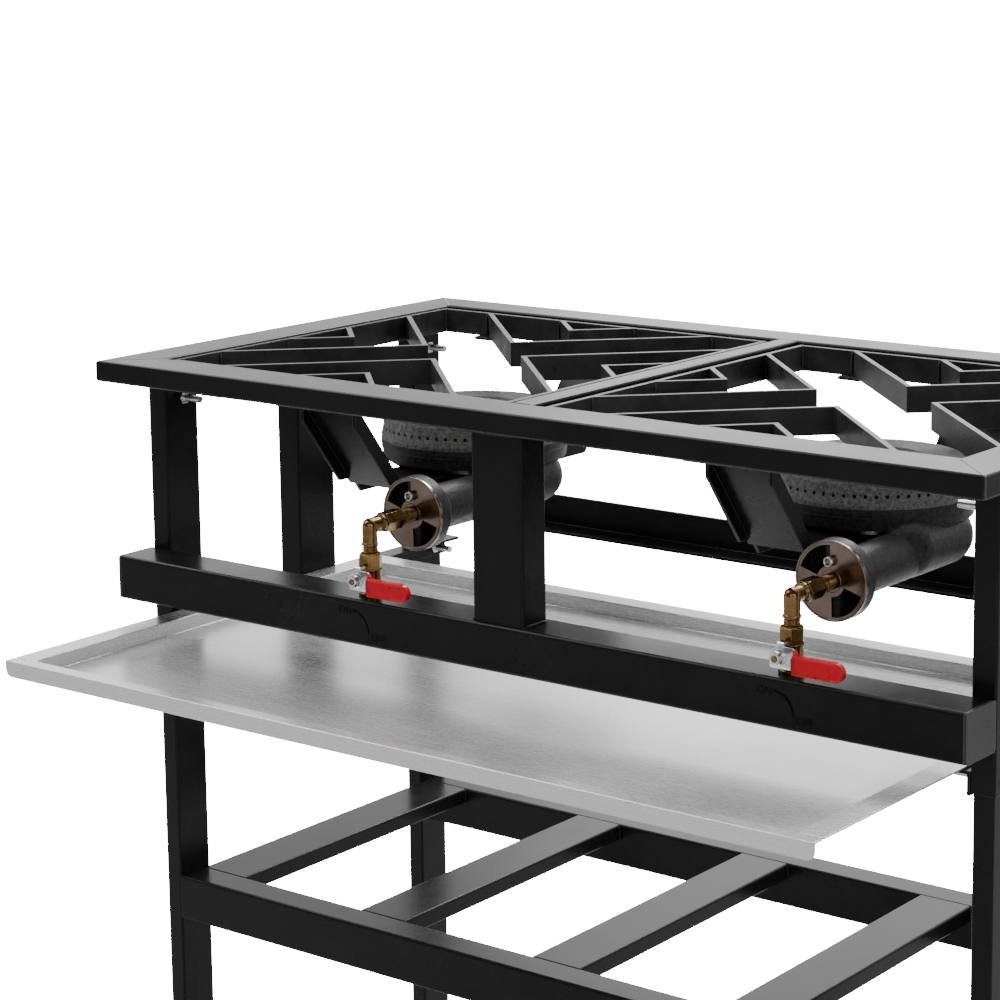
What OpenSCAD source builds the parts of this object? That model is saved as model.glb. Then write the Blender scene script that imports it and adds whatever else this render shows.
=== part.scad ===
// Two-burner gas boiling table: a welded steel stand with lift-out pan
// supports, cast ring burners, lever gas valves and a pull-out drip tray.
// Millimetres. +X is the table's right, +Y its back and +Z up.
// The origin is on the floor under the middle of the table.

/* [Table] */
// Width over the top frame
table_w = 860; // [840:5:900]
// Depth over the top frame
table_d = 466; // [460:2:490]
// Height from the floor to the top frame
table_h = 790; // [740:10:850]

/* [Top frame] */
// Width of the top frame's box section
rim_w = 42; // [38:1:46]
// Height of the top frame's box section
rim_h = 18; // [16:1:20]
// Wall of the top frame's box section
rim_wall = 1.5; // [1.2:0.1:2]
// Width of the bar between the two burner bays
cross_bar_w = 20; // [16:1:24]
// Inner corner radius of all box sections
tube_inner_r = 0.8; // [0.5:0.1:1.2]

/* [Legs] */
// Width of a leg sleeve, along X
sleeve_w = 20; // [19:1:24]
// Depth of a leg sleeve, along Y
sleeve_d = 40; // [38:1:44]
// Wall of the leg sleeves and lower legs
leg_wall = 1.2; // [1:0.1:1.5]
// Distance from the table's side to a sleeve's outer face
side_inset = 14; // [10:1:18]
// Height from a sleeve's foot up to the table top
sleeve_reach = 242; // [240:1:260]
// Clearance between a lower leg and its sleeve, on each side
leg_gap = 0.3; // [0.2:0.1:0.5]
// Distance from the table top down to the upper leg bolts
top_bolt_drop = 38; // [34:1:60]
// Distance from the table top down to the lower leg bolts
clamp_bolt_drop = 234.5; // [234.5:0.5:236]
// Length of a leg bolt's end beyond its nut's seat
bolt_end = 18; // [12:1:20]
// Height of a plastic foot below its leg
foot_h = 4; // [3:1:8]

/* [Gas rail] */
// Distance from the table's front to the gas rail
rail_inset = 5; // [3:1:8]
// Depth of the gas rail
rail_d = 42; // [40:1:44]
// Height of the gas rail
rail_h = 38; // [36:1:42]
// Wall of the gas rail
rail_wall = 2; // [1.6:0.2:2.4]
// Distance from the table top down to the gas rail
rail_drop = 170; // [166:1:174]
// Thickness of the gas rail's end plates
end_plate_t = 2.5; // [2:0.5:4]
// Width of the post between the gas rail and the top frame
post_w = 50; // [40:2:60]
// Depth of that post
post_d = 30; // [26:1:34]
// Distance from the table's front to that post
post_inset = 9; // [7:1:11]

/* [Sides and back] */
// Width of a side hanger, along X
hanger_w = 25; // [25:1:28]
// Depth of a side hanger, along Y
hanger_d = 48; // [40:2:60]
// Length of each leg of the back angle rail
angle_w = 30; // [25:1:35]
// Thickness of the back angle rail
angle_t = 3; // [2:0.5:4]
// Distance from the table top down to the back angle rail
angle_drop = 165; // [150:5:180]

/* [Lower shelf] */
// Distance from the table top down to the shelf
shelf_drop = 468.5; // [430:5:520]
// Height of the shelf's front and back rails
shelf_rail_h = 40; // [36:1:44]
// Depth of the shelf's front and back rails
shelf_rail_d = 30; // [26:1:34]
// Number of slats
slat_count = 5; // [4:1:7]
// Width of a slat
slat_w = 50; // [40:2:60]
// Height of a slat
slat_h = 15; // [12:1:20]

/* [Drip tray] */
// Gap between the tray's edge and a runner's side
tray_side_gap = 3.5; // [2:0.5:4]
// Depth of the tray
tray_d = 460; // [440:5:470]
// Thickness of the tray's sheet
tray_t = 1.2; // [1:0.1:1.5]
// Depth of the tray's pan, outside
tray_pan_h = 13.4; // [13:0.2:15]
// Width of the flange along the tray's sides and back
tray_flange = 20; // [19:1:21]
// Width of the flange at the tray's front
tray_front_flange = 11; // [8:1:14]
// Distance that the tray stands out from the table's front
tray_out = 150; // [100:5:160]
// Distance from the table top down to the runners' ledges
runner_drop = 226; // [222:1:226]
// Width of a runner's ledge
runner_w = 20; // [19:1:21]
// Height of a runner's side
runner_h = 18; // [16:1:18]
// Thickness of a runner
runner_t = 2.5; // [2:0.1:2.5]

/* [Pan supports] */
// Gap between a pan support and the top frame, at its sides
trivet_gap_x = 4; // [4:0.5:6]
// Gap between a pan support and the top frame, at its front and back
trivet_gap_y = 6; // [3:1:8]
// Distance that the supports and burners stand out from the middle of their bays
bay_shift = 3.5; // [0:0.5:3.5]
// Height of a pan support's bars
trivet_bar_h = 22; // [20:1:24]
// Thickness of a pan support's bars
trivet_bar_t = 4.5; // [4:0.5:6]
// Distance from the top frame's top down to a pan support's top
trivet_drop = 2; // [1:0.5:3]
// Distance from a support's middle to its long chevrons
long_v = 52; // [48:1:58]
// Distance from a support's edge in to its short chevrons
short_v_reach = 47; // [40:1:55]

/* [Burners] */
// Outer radius of the ring burner
ring_r = 82; // [78:1:84]
// Radius of the opening through the ring
ring_hole_r = 38; // [36:1:42]
// Distance from the table top down to the burner cap's top
cap_drop = 50; // [48:1:54]
// Height of the burner cap
cap_h = 26.5; // [25:0.5:28]
// Height of the ring body
ring_h = 20.5; // [20:0.5:22]
// Wall of the burner castings
cast_wall = 4; // [3.5:0.5:4.5]
// Number of flame ports in a cap
port_count = 60; // [40:2:64]
// Radius of a flame port
port_r = 1.5; // [1:0.1:1.8]
// Distance from a burner's axis to its mixing tube
tube_offset = 57; // [57:0.5:60]
// Outer radius of the mixing tube
mix_r = 19; // [18:0.5:19.5]
// Bore radius of the mixing tube
mix_bore_r = 14.5; // [13:0.5:15]
// Outer radius of the throat that leads the mixing tube up into the ring
throat_r = 24; // [22:0.5:24.5]
// Radius of the mixing tube's end flange
flange_r = 31; // [30:0.5:32]
// Thickness of that flange
flange_t = 10; // [8:1:12]
// Distance from the table's front to that flange
flange_inset = 81.8; // [80:0.2:84]
// Thickness of an air shutter
shutter_t = 2.5; // [2:0.5:3]
// Inner radius of a shutter's windows
window_in_r = 12; // [11:0.5:13]
// Outer radius of a shutter's windows
window_out_r = 27.5; // [25:0.5:27.5]
// Angle that a shutter's window spans
window_span = 71; // [50:1:75]

/* [Burner cradles] */
// Width of a cradle strap
cradle_w = 60; // [52:2:60]
// Thickness of a cradle strap
cradle_t = 3; // [2:0.5:3.5]
// Height of a cradle's side flanges, folded down and out
cradle_flange = 12; // [8:1:13]
// Distance from the table's front to the cradle's lower bend
cradle_bend = 102; // [96:1:110]

/* [Gas valves] */
// Radius of a valve's body
valve_r = 8.75; // [8.5:0.25:9]
// Height of a valve's round body above the gas rail
valve_h = 22; // [22:0.5:24]
// Width across the flats of a valve's top hexagon
valve_hex = 17; // [16:0.5:18]
// Height of that hexagon
valve_hex_h = 12; // [11:0.5:13]
// Height of the lever's axis above the gas rail
stem_rise = 14.7; // [14.5:0.1:15]
// Radius of a valve's stem
stem_r = 2.5; // [2.3:0.1:2.6]
// Radius of a valve's ball
ball_r = 5.5; // [5:0.1:5.6]
// Radius of the gas way through a valve
gas_way_r = 3; // [2:0.25:3.25]
// Width of a lever's hub plate
hub_w = 17; // [15:0.5:18]
// Thickness of a lever
lever_t = 2; // [1.6:0.1:2.4]
// Reach of a lever's grip from the stem's axis
grip_reach = 57; // [50:1:60]
// Height of a lever's grip
grip_h = 14.5; // [13:0.5:16]
// Thickness of a lever's grip
grip_t = 5; // [4.4:0.2:6]
// Radius of an elbow's arms
elbow_r = 5.6; // [5:0.2:6]
// Width across the flats of an injector coupling
coupling_hex = 15; // [14:0.5:16]
// Height of the injector's axis above the gas rail
train_rise = 57; // [56:0.5:58]

/* [Hidden] */

// Overrun of cuts past a face
over = 1;
// Gap between a piece that moves and its seat
seat_gap = 0.3;
// Radial clearance of a shaft in its hole
run_gap = 0.05;
curve_fn = 48;
small_fn = 24;

// Levels and faces of the stand
front_y = -table_d / 2;
rim_under_z = table_h - rim_h;
rail_top_z = table_h - rail_drop;
rail_y = front_y + rail_inset;
sleeve_foot_z = table_h - sleeve_reach;
sleeve_x = table_w / 2 - side_inset - sleeve_w / 2;
sleeve_in_x = sleeve_x - sleeve_w / 2;
sleeve_y = rail_y + rail_d + sleeve_d / 2;
leg_w = sleeve_w - 2 * (leg_wall + leg_gap);
leg_d = sleeve_d - 2 * (leg_wall + leg_gap);
leg_head_gap = 3;
hanger_x = table_w / 2 - side_inset - hanger_w / 2;

// M6 hexagon bolts and nuts
bolt_r = 3;
bolt_hole_r = 3.3;
bolt_hex = 10;
bolt_head_h = 4;
bolt_hole_l = 60;
nut_h = 5;
burner_bolt_end = 7;

// Gas inlet, a half-inch pipe socket
socket_r = 13.5;
socket_bore_r = 9.3;
socket_l = 20;

// Back angle rail: distance from the back sleeves' front faces to its own back
angle_inset = 24;

// Tray and runners
runner_top_z = table_h - runner_drop;
tray_w = 2 * (sleeve_in_x - runner_t - tray_side_gap);
tray_top_z = runner_top_z + seat_gap + tray_t;
tray_front_y = front_y - tray_out;
tray_corner_r = 6;
tray_lip_r = 7;
tray_notch = 2;

// Pan supports
opening_w = (table_w - cross_bar_w) / 2 - rim_w;
opening_d = table_d - 2 * rim_w;
trivet_x = cross_bar_w / 2 + opening_w / 2 + bay_shift;
trivet_w = opening_w - 2 * trivet_gap_x;
trivet_d = opening_d - 2 * trivet_gap_y;
trivet_top_z = table_h - trivet_drop;
trivet_foot_z = trivet_top_z - trivet_bar_h;
tab_w = 22;
tab_t = 3;
tab_reach = 16;
tab_weld = 12;
tab_gap = 260;

// Burners
burner_x = trivet_x;
cap_top_z = table_h - cap_drop;
cap_foot_z = cap_top_z - cap_h;
ring_top_z = cap_foot_z - seat_gap;
ring_foot_z = ring_top_z - ring_h;
train_z = rail_top_z + train_rise;
cap_edge = 10;
cap_top_t = 4;
cap_wall = 4;
cap_lip = 3;
cap_lip_h = 3;
port_drop = 16.5;
throat_front_y = -44;
throat_end_y = 12;
throat_z = train_z + throat_r - mix_r;
boss_r = 7;
boss_h = 8;
flange_y = front_y + flange_inset;
mouth_r = window_out_r;
mouth_depth = 26;
bridge_w = 12;
bridge_t = 5;
hub_boss_r = 9.5;
hub_boss_l = 9;

// Shutters
shutter_y = flange_y - seat_gap - shutter_t;
window_start = 92;
screw_radius = 15.5;
screw_r = 2.5;
screw_head_r = 4;
screw_head_h = 3;

// Cradles
cradle_end_inset = 12;
cradle_top_y = front_y + rim_w;
cradle_low_y = front_y + cradle_bend;
cradle_seat_z = ring_foot_z;
cradle_slope = atan2(rim_under_z - cradle_seat_z, cradle_low_y - cradle_top_y);
cradle_notch = 1.5;
cradle_flange_lead = 8.5;
burner_bolt_radius = (ring_r + ring_hole_r) / 2;

// Valves and their gas train
valve_y = rail_y + rail_d / 2;
stem_z = rail_top_z + stem_rise;
foot_r = 6.6;
foot_l = 8;
stem_boss_r = 5.5;
stem_boss_l = 12;
cavity_r = ball_r + 0.5;
seat_t = 3;
gland_hex = 9;
gland_l = 3;
gland_bore = stem_r + run_gap;
stem_end = 6;
tang_w = 4;
tang_t = 2;
tang_in = 2.2;
hub_y = valve_y - stem_boss_l - gland_l - seat_gap;
lever_nut_hex = 7;
lever_nut_h = 3;
hub_h = 17;
grip_start = 14;
grip_drop = 3;
joggle = 3.4;
arm_h = 9;
arm_end_gap = 4;
nipple_r = 6.2;
nipple_l = 7;
nipple_in = 8;
elbow_collar_r = 6.8;
elbow_collar_l = 2;
elbow_arm = 12;
ring_collar_r = 7.2;
ring_collar_l = 3;
coupling_l = 20;
injector_r = 6;
injector_nose_r = 5;
injector_tip_r = 3.2;
injector_tip_l = 12;
jet_r = 0.7;
injector_in = 8;
coupling_y = valve_y + elbow_arm + ring_collar_l;
injector_y = coupling_y + coupling_l - injector_in;

// Colours
frame_colour = [0.07, 0.07, 0.075];
cast_colour = [0.13, 0.13, 0.135];
cap_colour = [0.32, 0.32, 0.32];
steel_colour = [0.72, 0.73, 0.74];
zinc_colour = [0.8, 0.81, 0.83];
brass_colour = [0.72, 0.55, 0.27];
bronze_colour = [0.5, 0.42, 0.35];
grip_colour = [0.8, 0.07, 0.09];
plastic_colour = [0.05, 0.05, 0.05];
seal_colour = [0.92, 0.92, 0.9];

// Outline of a bar with rounded corners, centred
module rounded_rect(a, b, r) {
    square([a - 2 * r, b], center = true);
    square([a, b - 2 * r], center = true);
    for (sx = [-1, 1], sy = [-1, 1])
        translate([sx * (a / 2 - r), sy * (b / 2 - r)])
            circle(r = r, $fn = small_fn);
}

// Outline of a box section, centred
module box_section(a, b, wall) {
    difference() {
        rounded_rect(a, b, wall + tube_inner_r);
        rounded_rect(a - 2 * wall, b - 2 * wall, tube_inner_r);
    }
}

// Lays an outline's first axis along Y and its second along Z, drawn out along X
module along_x(l) {
    rotate([90, 0, 90])
        linear_extrude(height = l, center = true)
            children();
}

// Lays an outline's first axis along X and its second along Z, drawn out along Y
module along_y(l) {
    rotate([90, 0, 0])
        linear_extrude(height = l, center = true)
            children();
}

// Hexagon prism across flats, drawn out along Z from zero
module hexagon(flats, h) {
    cylinder(r = flats / (2 * cos(30)), h = h, $fn = 6);
}

module at_both_sides() {
    for (s = [-1, 1])
        mirror_x(s)
            children();
}

// Mirrors its children in X where s is negative
module mirror_x(s) {
    if (s < 0)
        mirror([1, 0, 0])
            children();
    else
        children();
}

// Mirrors its children in Y where s is negative
module mirror_y(s) {
    if (s < 0)
        mirror([0, 1, 0])
            children();
    else
        children();
}

// One side of the top frame, its outer edge on Y zero, cut at 45 degrees at both ends
module rim_side(l) {
    difference() {
        translate([0, rim_w / 2, rim_under_z + rim_h / 2])
            along_x(l)
                box_section(rim_w, rim_h, rim_wall);
        at_both_sides()
            translate([0, 0, rim_under_z - over])
                linear_extrude(height = rim_h + 2 * over)
                    polygon([
                        [l / 2 + over, -over],
                        [l / 2 - rim_w - over, rim_w + over],
                        [l / 2 + over, rim_w + over]
                    ]);
    }
}

module rim_front_tube() {
    color(frame_colour)
        translate([0, front_y, 0])
            rim_side(table_w);
}

module rim_back_tube() {
    color(frame_colour)
        translate([0, -front_y, 0])
            mirror_y(-1)
                rim_side(table_w);
}

module rim_short_tube() {
    translate([-table_w / 2, 0, 0])
        rotate([0, 0, -90])
            rim_side(table_d);
}

module rim_left_tube() {
    color(frame_colour)
        rim_short_tube();
}

module rim_right_tube() {
    color(frame_colour)
        mirror_x(-1)
            rim_short_tube();
}

module rim_cross_bar() {
    color(frame_colour)
        translate([0, 0, rim_under_z + rim_h / 2])
            along_y(table_d - 2 * rim_w)
                box_section(cross_bar_w, rim_h, rim_wall);
}

// Holes for the two leg bolts, run through along X
module leg_bolt_holes() {
    for (drop = [top_bolt_drop, clamp_bolt_drop])
        translate([sleeve_x, sleeve_y, table_h - drop])
            rotate([0, 90, 0])
                cylinder(r = bolt_hole_r, h = bolt_hole_l, center = true, $fn = small_fn);
}

module leg_sleeve(sx, sy) {
    color(frame_colour)
        mirror_x(sx)
            mirror_y(sy)
                difference() {
                    translate([sleeve_x, sleeve_y, sleeve_foot_z])
                        linear_extrude(height = rim_under_z - sleeve_foot_z)
                            box_section(sleeve_w, sleeve_d, leg_wall);
                    leg_bolt_holes();
                }
}

module lower_leg(sx, sy) {
    color(frame_colour)
        mirror_x(sx)
            mirror_y(sy)
                difference() {
                    translate([sleeve_x, sleeve_y, foot_h])
                        linear_extrude(height = rim_under_z - leg_head_gap - foot_h)
                            box_section(leg_w, leg_d, leg_wall);
                    leg_bolt_holes();
                }
}

module side_hangers() {
    color(frame_colour)
        at_both_sides()
            translate([hanger_x, 0, runner_top_z])
                linear_extrude(height = rim_under_z - runner_top_z)
                    box_section(hanger_w, hanger_d, leg_wall);
}

module front_centre_post() {
    color(frame_colour)
        translate([0, front_y + post_inset + post_d / 2, rail_top_z])
            linear_extrude(height = rim_under_z - rail_top_z)
                box_section(post_w, post_d, rim_wall);
}

module gas_manifold_tube() {
    color(frame_colour)
        difference() {
            translate([0, rail_y + rail_d / 2, rail_top_z - rail_h / 2])
                along_x(2 * (sleeve_in_x + sleeve_w - end_plate_t))
                    box_section(rail_d, rail_h, rail_wall);
            for (xc = [-burner_x, burner_x])
                translate([xc + tube_offset, valve_y, rail_top_z - 2 * rail_wall])
                    cylinder(r = foot_r + run_gap, h = 4 * rail_wall, $fn = curve_fn);
        }
}

// Centre of the gas rail's end faces
module at_rail_end(x) {
    translate([x, rail_y + rail_d / 2, rail_top_z - rail_h / 2])
        rotate([0, 90, 0])
            children();
}

module manifold_end_plates() {
    plate_x = sleeve_in_x + sleeve_w - end_plate_t / 2;
    color(frame_colour)
        difference() {
            at_both_sides()
                translate([plate_x, rail_y + rail_d / 2, rail_top_z - rail_h / 2])
                    along_x(end_plate_t)
                        rounded_rect(rail_d, rail_h, rail_wall + tube_inner_r);
            at_rail_end(-plate_x)
                cylinder(r = socket_r, h = 2 * end_plate_t, center = true, $fn = curve_fn);
        }
}

module gas_inlet_socket() {
    color(brass_colour)
        at_rail_end(-(sleeve_in_x + sleeve_w))
            difference() {
                cylinder(r = socket_r, h = socket_l, $fn = curve_fn);
                translate([0, 0, -over])
                    cylinder(r = socket_bore_r, h = socket_l + 2 * over, $fn = curve_fn);
            }
}

// Angle that carries one side of the tray, with its ledge at the top
module tray_runner(sx) {
    color(frame_colour)
        mirror_x(sx)
            difference() {
                translate([0, 0, runner_top_z])
                    along_y(2 * (-sleeve_y + sleeve_d / 2))
                        polygon([
                            [sleeve_in_x, 0],
                            [sleeve_in_x, -runner_h],
                            [sleeve_in_x - runner_t, -runner_h],
                            [sleeve_in_x - runner_t, -runner_t],
                            [sleeve_in_x - runner_w, -runner_t],
                            [sleeve_in_x - runner_w, 0]
                        ]);
                leg_bolt_holes();
                mirror_y(-1)
                    leg_bolt_holes();
            }
}

module back_angle_rail() {
    back_y = -(sleeve_y + sleeve_d / 2) + angle_inset;
    color(frame_colour)
        translate([0, back_y, table_h - angle_drop - angle_w])
            along_x(2 * sleeve_in_x)
                polygon([
                    [0, 0],
                    [0, angle_w],
                    [-angle_t, angle_w],
                    [-angle_t, angle_t],
                    [-angle_w, angle_t],
                    [-angle_w, 0]
                ]);
}

// Stepped tab, welded under the top frame, with a ledge for a pan support
module trivet_rest_tabs() {
    ledge_z = trivet_foot_z - seat_gap - rim_under_z;
    color(frame_colour)
        for (xc = [-trivet_x, trivet_x], sx = [-1, 1], sy = [-1, 1])
            translate([xc + sx * tab_gap / 2, 0, rim_under_z])
                mirror_y(sy)
                    translate([0, front_y + rim_w, 0])
                        along_x(tab_w)
                            polygon([
                                [-tab_weld, 0],
                                [-tab_weld, -tab_t],
                                [-tab_t, -tab_t],
                                [-tab_t, ledge_z - tab_t],
                                [tab_reach, ledge_z - tab_t],
                                [tab_reach, ledge_z],
                                [0, ledge_z],
                                [0, 0]
                            ]);
}

// Side view of the front half of a cradle strap
module cradle_outline() {
    bend = cradle_t * tan(cradle_slope / 2);
    polygon([
        [front_y + cradle_end_inset, rim_under_z],
        [cradle_top_y, rim_under_z],
        [cradle_low_y, cradle_seat_z],
        [0, cradle_seat_z],
        [0, cradle_seat_z - cradle_t],
        [cradle_low_y - bend, cradle_seat_z - cradle_t],
        [cradle_top_y - bend, rim_under_z - cradle_t],
        [front_y + cradle_end_inset, rim_under_z - cradle_t]
    ]);
}

// Side view of the flanges that a cradle's slope and its flat middle turn down and out
module cradle_flange_outline() {
    out_y = cradle_flange * sin(cradle_slope);
    out_z = cradle_flange * cos(cradle_slope);
    intersection() {
        polygon([
            [cradle_top_y, rim_under_z],
            [cradle_top_y - out_y, rim_under_z - out_z],
            [cradle_low_y - out_y, cradle_seat_z - out_z],
            [cradle_low_y, cradle_seat_z]
        ]);
        translate([cradle_top_y, cradle_seat_z + cradle_notch])
            square([table_d, rim_under_z - cradle_seat_z]);
    }
    polygon([
        [cradle_low_y + cradle_notch, cradle_seat_z],
        [0, cradle_seat_z],
        [0, cradle_seat_z - cradle_flange],
        [cradle_low_y + cradle_notch + cradle_flange_lead, cradle_seat_z - cradle_flange]
    ]);
}

module burner_cradle(xc) {
    color(frame_colour)
        translate([xc, 0, 0])
            difference() {
                for (sy = [-1, 1])
                    mirror_y(sy) {
                        along_x(cradle_w)
                            cradle_outline();
                        for (sx = [-1, 1])
                            translate([sx * (cradle_w - cradle_t) / 2, 0, 0])
                                along_x(cradle_t)
                                    cradle_flange_outline();
                    }
                for (sy = [-1, 1])
                    translate([0, sy * burner_bolt_radius, cradle_seat_z])
                        cylinder(r = bolt_hole_r, h = 3 * cradle_t, center = true, $fn = small_fn);
            }
}

// Hexagon bolt that points up, its head's top face on Z zero
module bolt_up(l) {
    translate([0, 0, -bolt_head_h])
        hexagon(bolt_hex, bolt_head_h);
    cylinder(r = bolt_r, h = l, $fn = small_fn);
}

module burner_bolts() {
    color(zinc_colour)
        for (xc = [-burner_x, burner_x], sy = [-1, 1])
            translate([xc, sy * burner_bolt_radius, cradle_seat_z - cradle_t])
                bolt_up(cradle_t + burner_bolt_end);
}

// Places on the outer face of each sleeve, with local Z pointing to the middle
module leg_bolt_places(drop) {
    at_both_sides()
        for (sy = [-1, 1])
            translate([sleeve_x + sleeve_w / 2, sy * sleeve_y, table_h - drop])
                rotate([0, -90, 0])
                    children();
}

module leg_bolts() {
    color(zinc_colour) {
        leg_bolt_places(top_bolt_drop)
            bolt_up(sleeve_w + nut_h + bolt_end);
        leg_bolt_places(clamp_bolt_drop)
            bolt_up(sleeve_w + runner_t + nut_h + bolt_end);
    }
}

module hexagon_nut() {
    difference() {
        hexagon(bolt_hex, nut_h);
        translate([0, 0, -over])
            cylinder(r = bolt_r, h = nut_h + 2 * over, $fn = small_fn);
    }
}

module leg_nuts() {
    color(zinc_colour) {
        leg_bolt_places(top_bolt_drop)
            translate([0, 0, sleeve_w])
                rotate([0, 0, 30])
                    hexagon_nut();
        leg_bolt_places(clamp_bolt_drop)
            translate([0, 0, sleeve_w + runner_t])
                rotate([0, 0, 30])
                    hexagon_nut();
    }
}

// A shelf rail between two lower legs, its outer face flush with theirs
module shelf_rail(sy) {
    color(frame_colour)
        mirror_y(sy)
            translate([0, sleeve_y - (leg_d - shelf_rail_d) / 2, table_h - shelf_drop - shelf_rail_h / 2])
                along_x(2 * sleeve_x - leg_w)
                    box_section(shelf_rail_d, shelf_rail_h, rim_wall);
}

module shelf_slats() {
    slat_l = -2 * (sleeve_y - leg_d / 2 + shelf_rail_d);
    reach = sleeve_x - leg_w / 2 - seat_gap - slat_w / 2;
    color(frame_colour)
        for (i = [0 : slat_count - 1])
            translate([reach * (2 * i / (slat_count - 1) - 1), 0, table_h - shelf_drop - slat_h / 2])
                along_y(slat_l)
                    box_section(slat_w, slat_h, leg_wall);
}

// Plastic foot with a plug that fills the leg's end
module leg_feet() {
    plug_h = 3 * foot_h;
    color(plastic_colour)
        for (sx = [-1, 1], sy = [-1, 1])
            translate([sx * sleeve_x, sy * sleeve_y, 0]) {
                linear_extrude(height = foot_h)
                    rounded_rect(leg_w, leg_d, leg_wall + tube_inner_r);
                linear_extrude(height = foot_h + plug_h)
                    rounded_rect(leg_w - 2 * leg_wall, leg_d - 2 * leg_wall, tube_inner_r);
            }
}

// Plan of the tray between named insets from its flanges' edges
module tray_plan(side, front, back, r) {
    translate([0, tray_front_y + front + (tray_d - front - back) / 2])
        rounded_rect(tray_w - 2 * side, tray_d - front - back, r);
}

// Folded sheet tray: pan, flanges all round and a front turned down
module drip_tray() {
    pan_foot_z = tray_top_z - tray_pan_h;
    color(steel_colour) {
        difference() {
            union() {
                translate([0, 0, tray_top_z - tray_t])
                    linear_extrude(height = tray_t)
                        tray_plan(0, 0, 0, tray_t);
                translate([0, 0, pan_foot_z])
                    linear_extrude(height = tray_pan_h)
                        tray_plan(tray_flange, tray_front_flange, tray_flange, tray_corner_r);
            }
            translate([0, 0, pan_foot_z + tray_t])
                linear_extrude(height = tray_pan_h)
                    tray_plan(tray_flange + tray_t, tray_front_flange + tray_t, tray_flange + tray_t,
                        tray_corner_r - tray_t);
            for (sx = [-1, 1])
                translate([sx * tray_w / 2, tray_front_y + tray_front_flange, tray_top_z])
                    cube([2 * (tray_flange - tray_corner_r), tray_notch, 3 * tray_t], center = true);
        }
        translate([0, tray_front_y + tray_t / 2, tray_top_z])
            along_y(tray_t)
                difference() {
                    rounded_rect(tray_w, 2 * tray_pan_h, tray_lip_r);
                    translate([0, tray_pan_h])
                        square([tray_w + 2 * over, 2 * tray_pan_h], center = true);
                }
    }
}

// A chevron's plan: its arms run out to the frame bar at half, its point is reach in from there
module chevron(half, reach) {
    thick = trivet_bar_t * sqrt(2);
    difference() {
        polygon([
            [reach - half, 0],
            [-half, reach],
            [-half, -reach]
        ]);
        polygon([
            [reach - half - thick, 0],
            [-half, reach - thick],
            [-half, thick - reach]
        ]);
    }
}

// Pan support: a frame of flat bar with nested chevrons on its four sides
module trivet(xc) {
    color(frame_colour)
        translate([xc, 0, trivet_foot_z])
            linear_extrude(height = trivet_bar_h) {
                difference() {
                    square([trivet_w, trivet_d], center = true);
                    square([trivet_w - 2 * trivet_bar_t, trivet_d - 2 * trivet_bar_t], center = true);
                }
                for (turn = [0, 180])
                    rotate(turn) {
                        chevron(trivet_w / 2, trivet_w / 2 - long_v);
                        chevron(trivet_w / 2, short_v_reach);
                    }
                for (turn = [90, 270])
                    rotate(turn) {
                        chevron(trivet_d / 2, trivet_d / 2 - long_v);
                        chevron(trivet_d / 2, short_v_reach);
                    }
            }
}

// Round-ended throat under the ring, from its front to its end
module burner_throat(r) {
    translate([tube_offset, throat_front_y, throat_z])
        rotate([-90, 0, 0])
            cylinder(r = r, h = throat_end_y - throat_front_y, $fn = curve_fn);
    for (y = [throat_front_y, throat_end_y])
        translate([tube_offset, y, throat_z])
            sphere(r = r, $fn = curve_fn);
}

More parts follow.
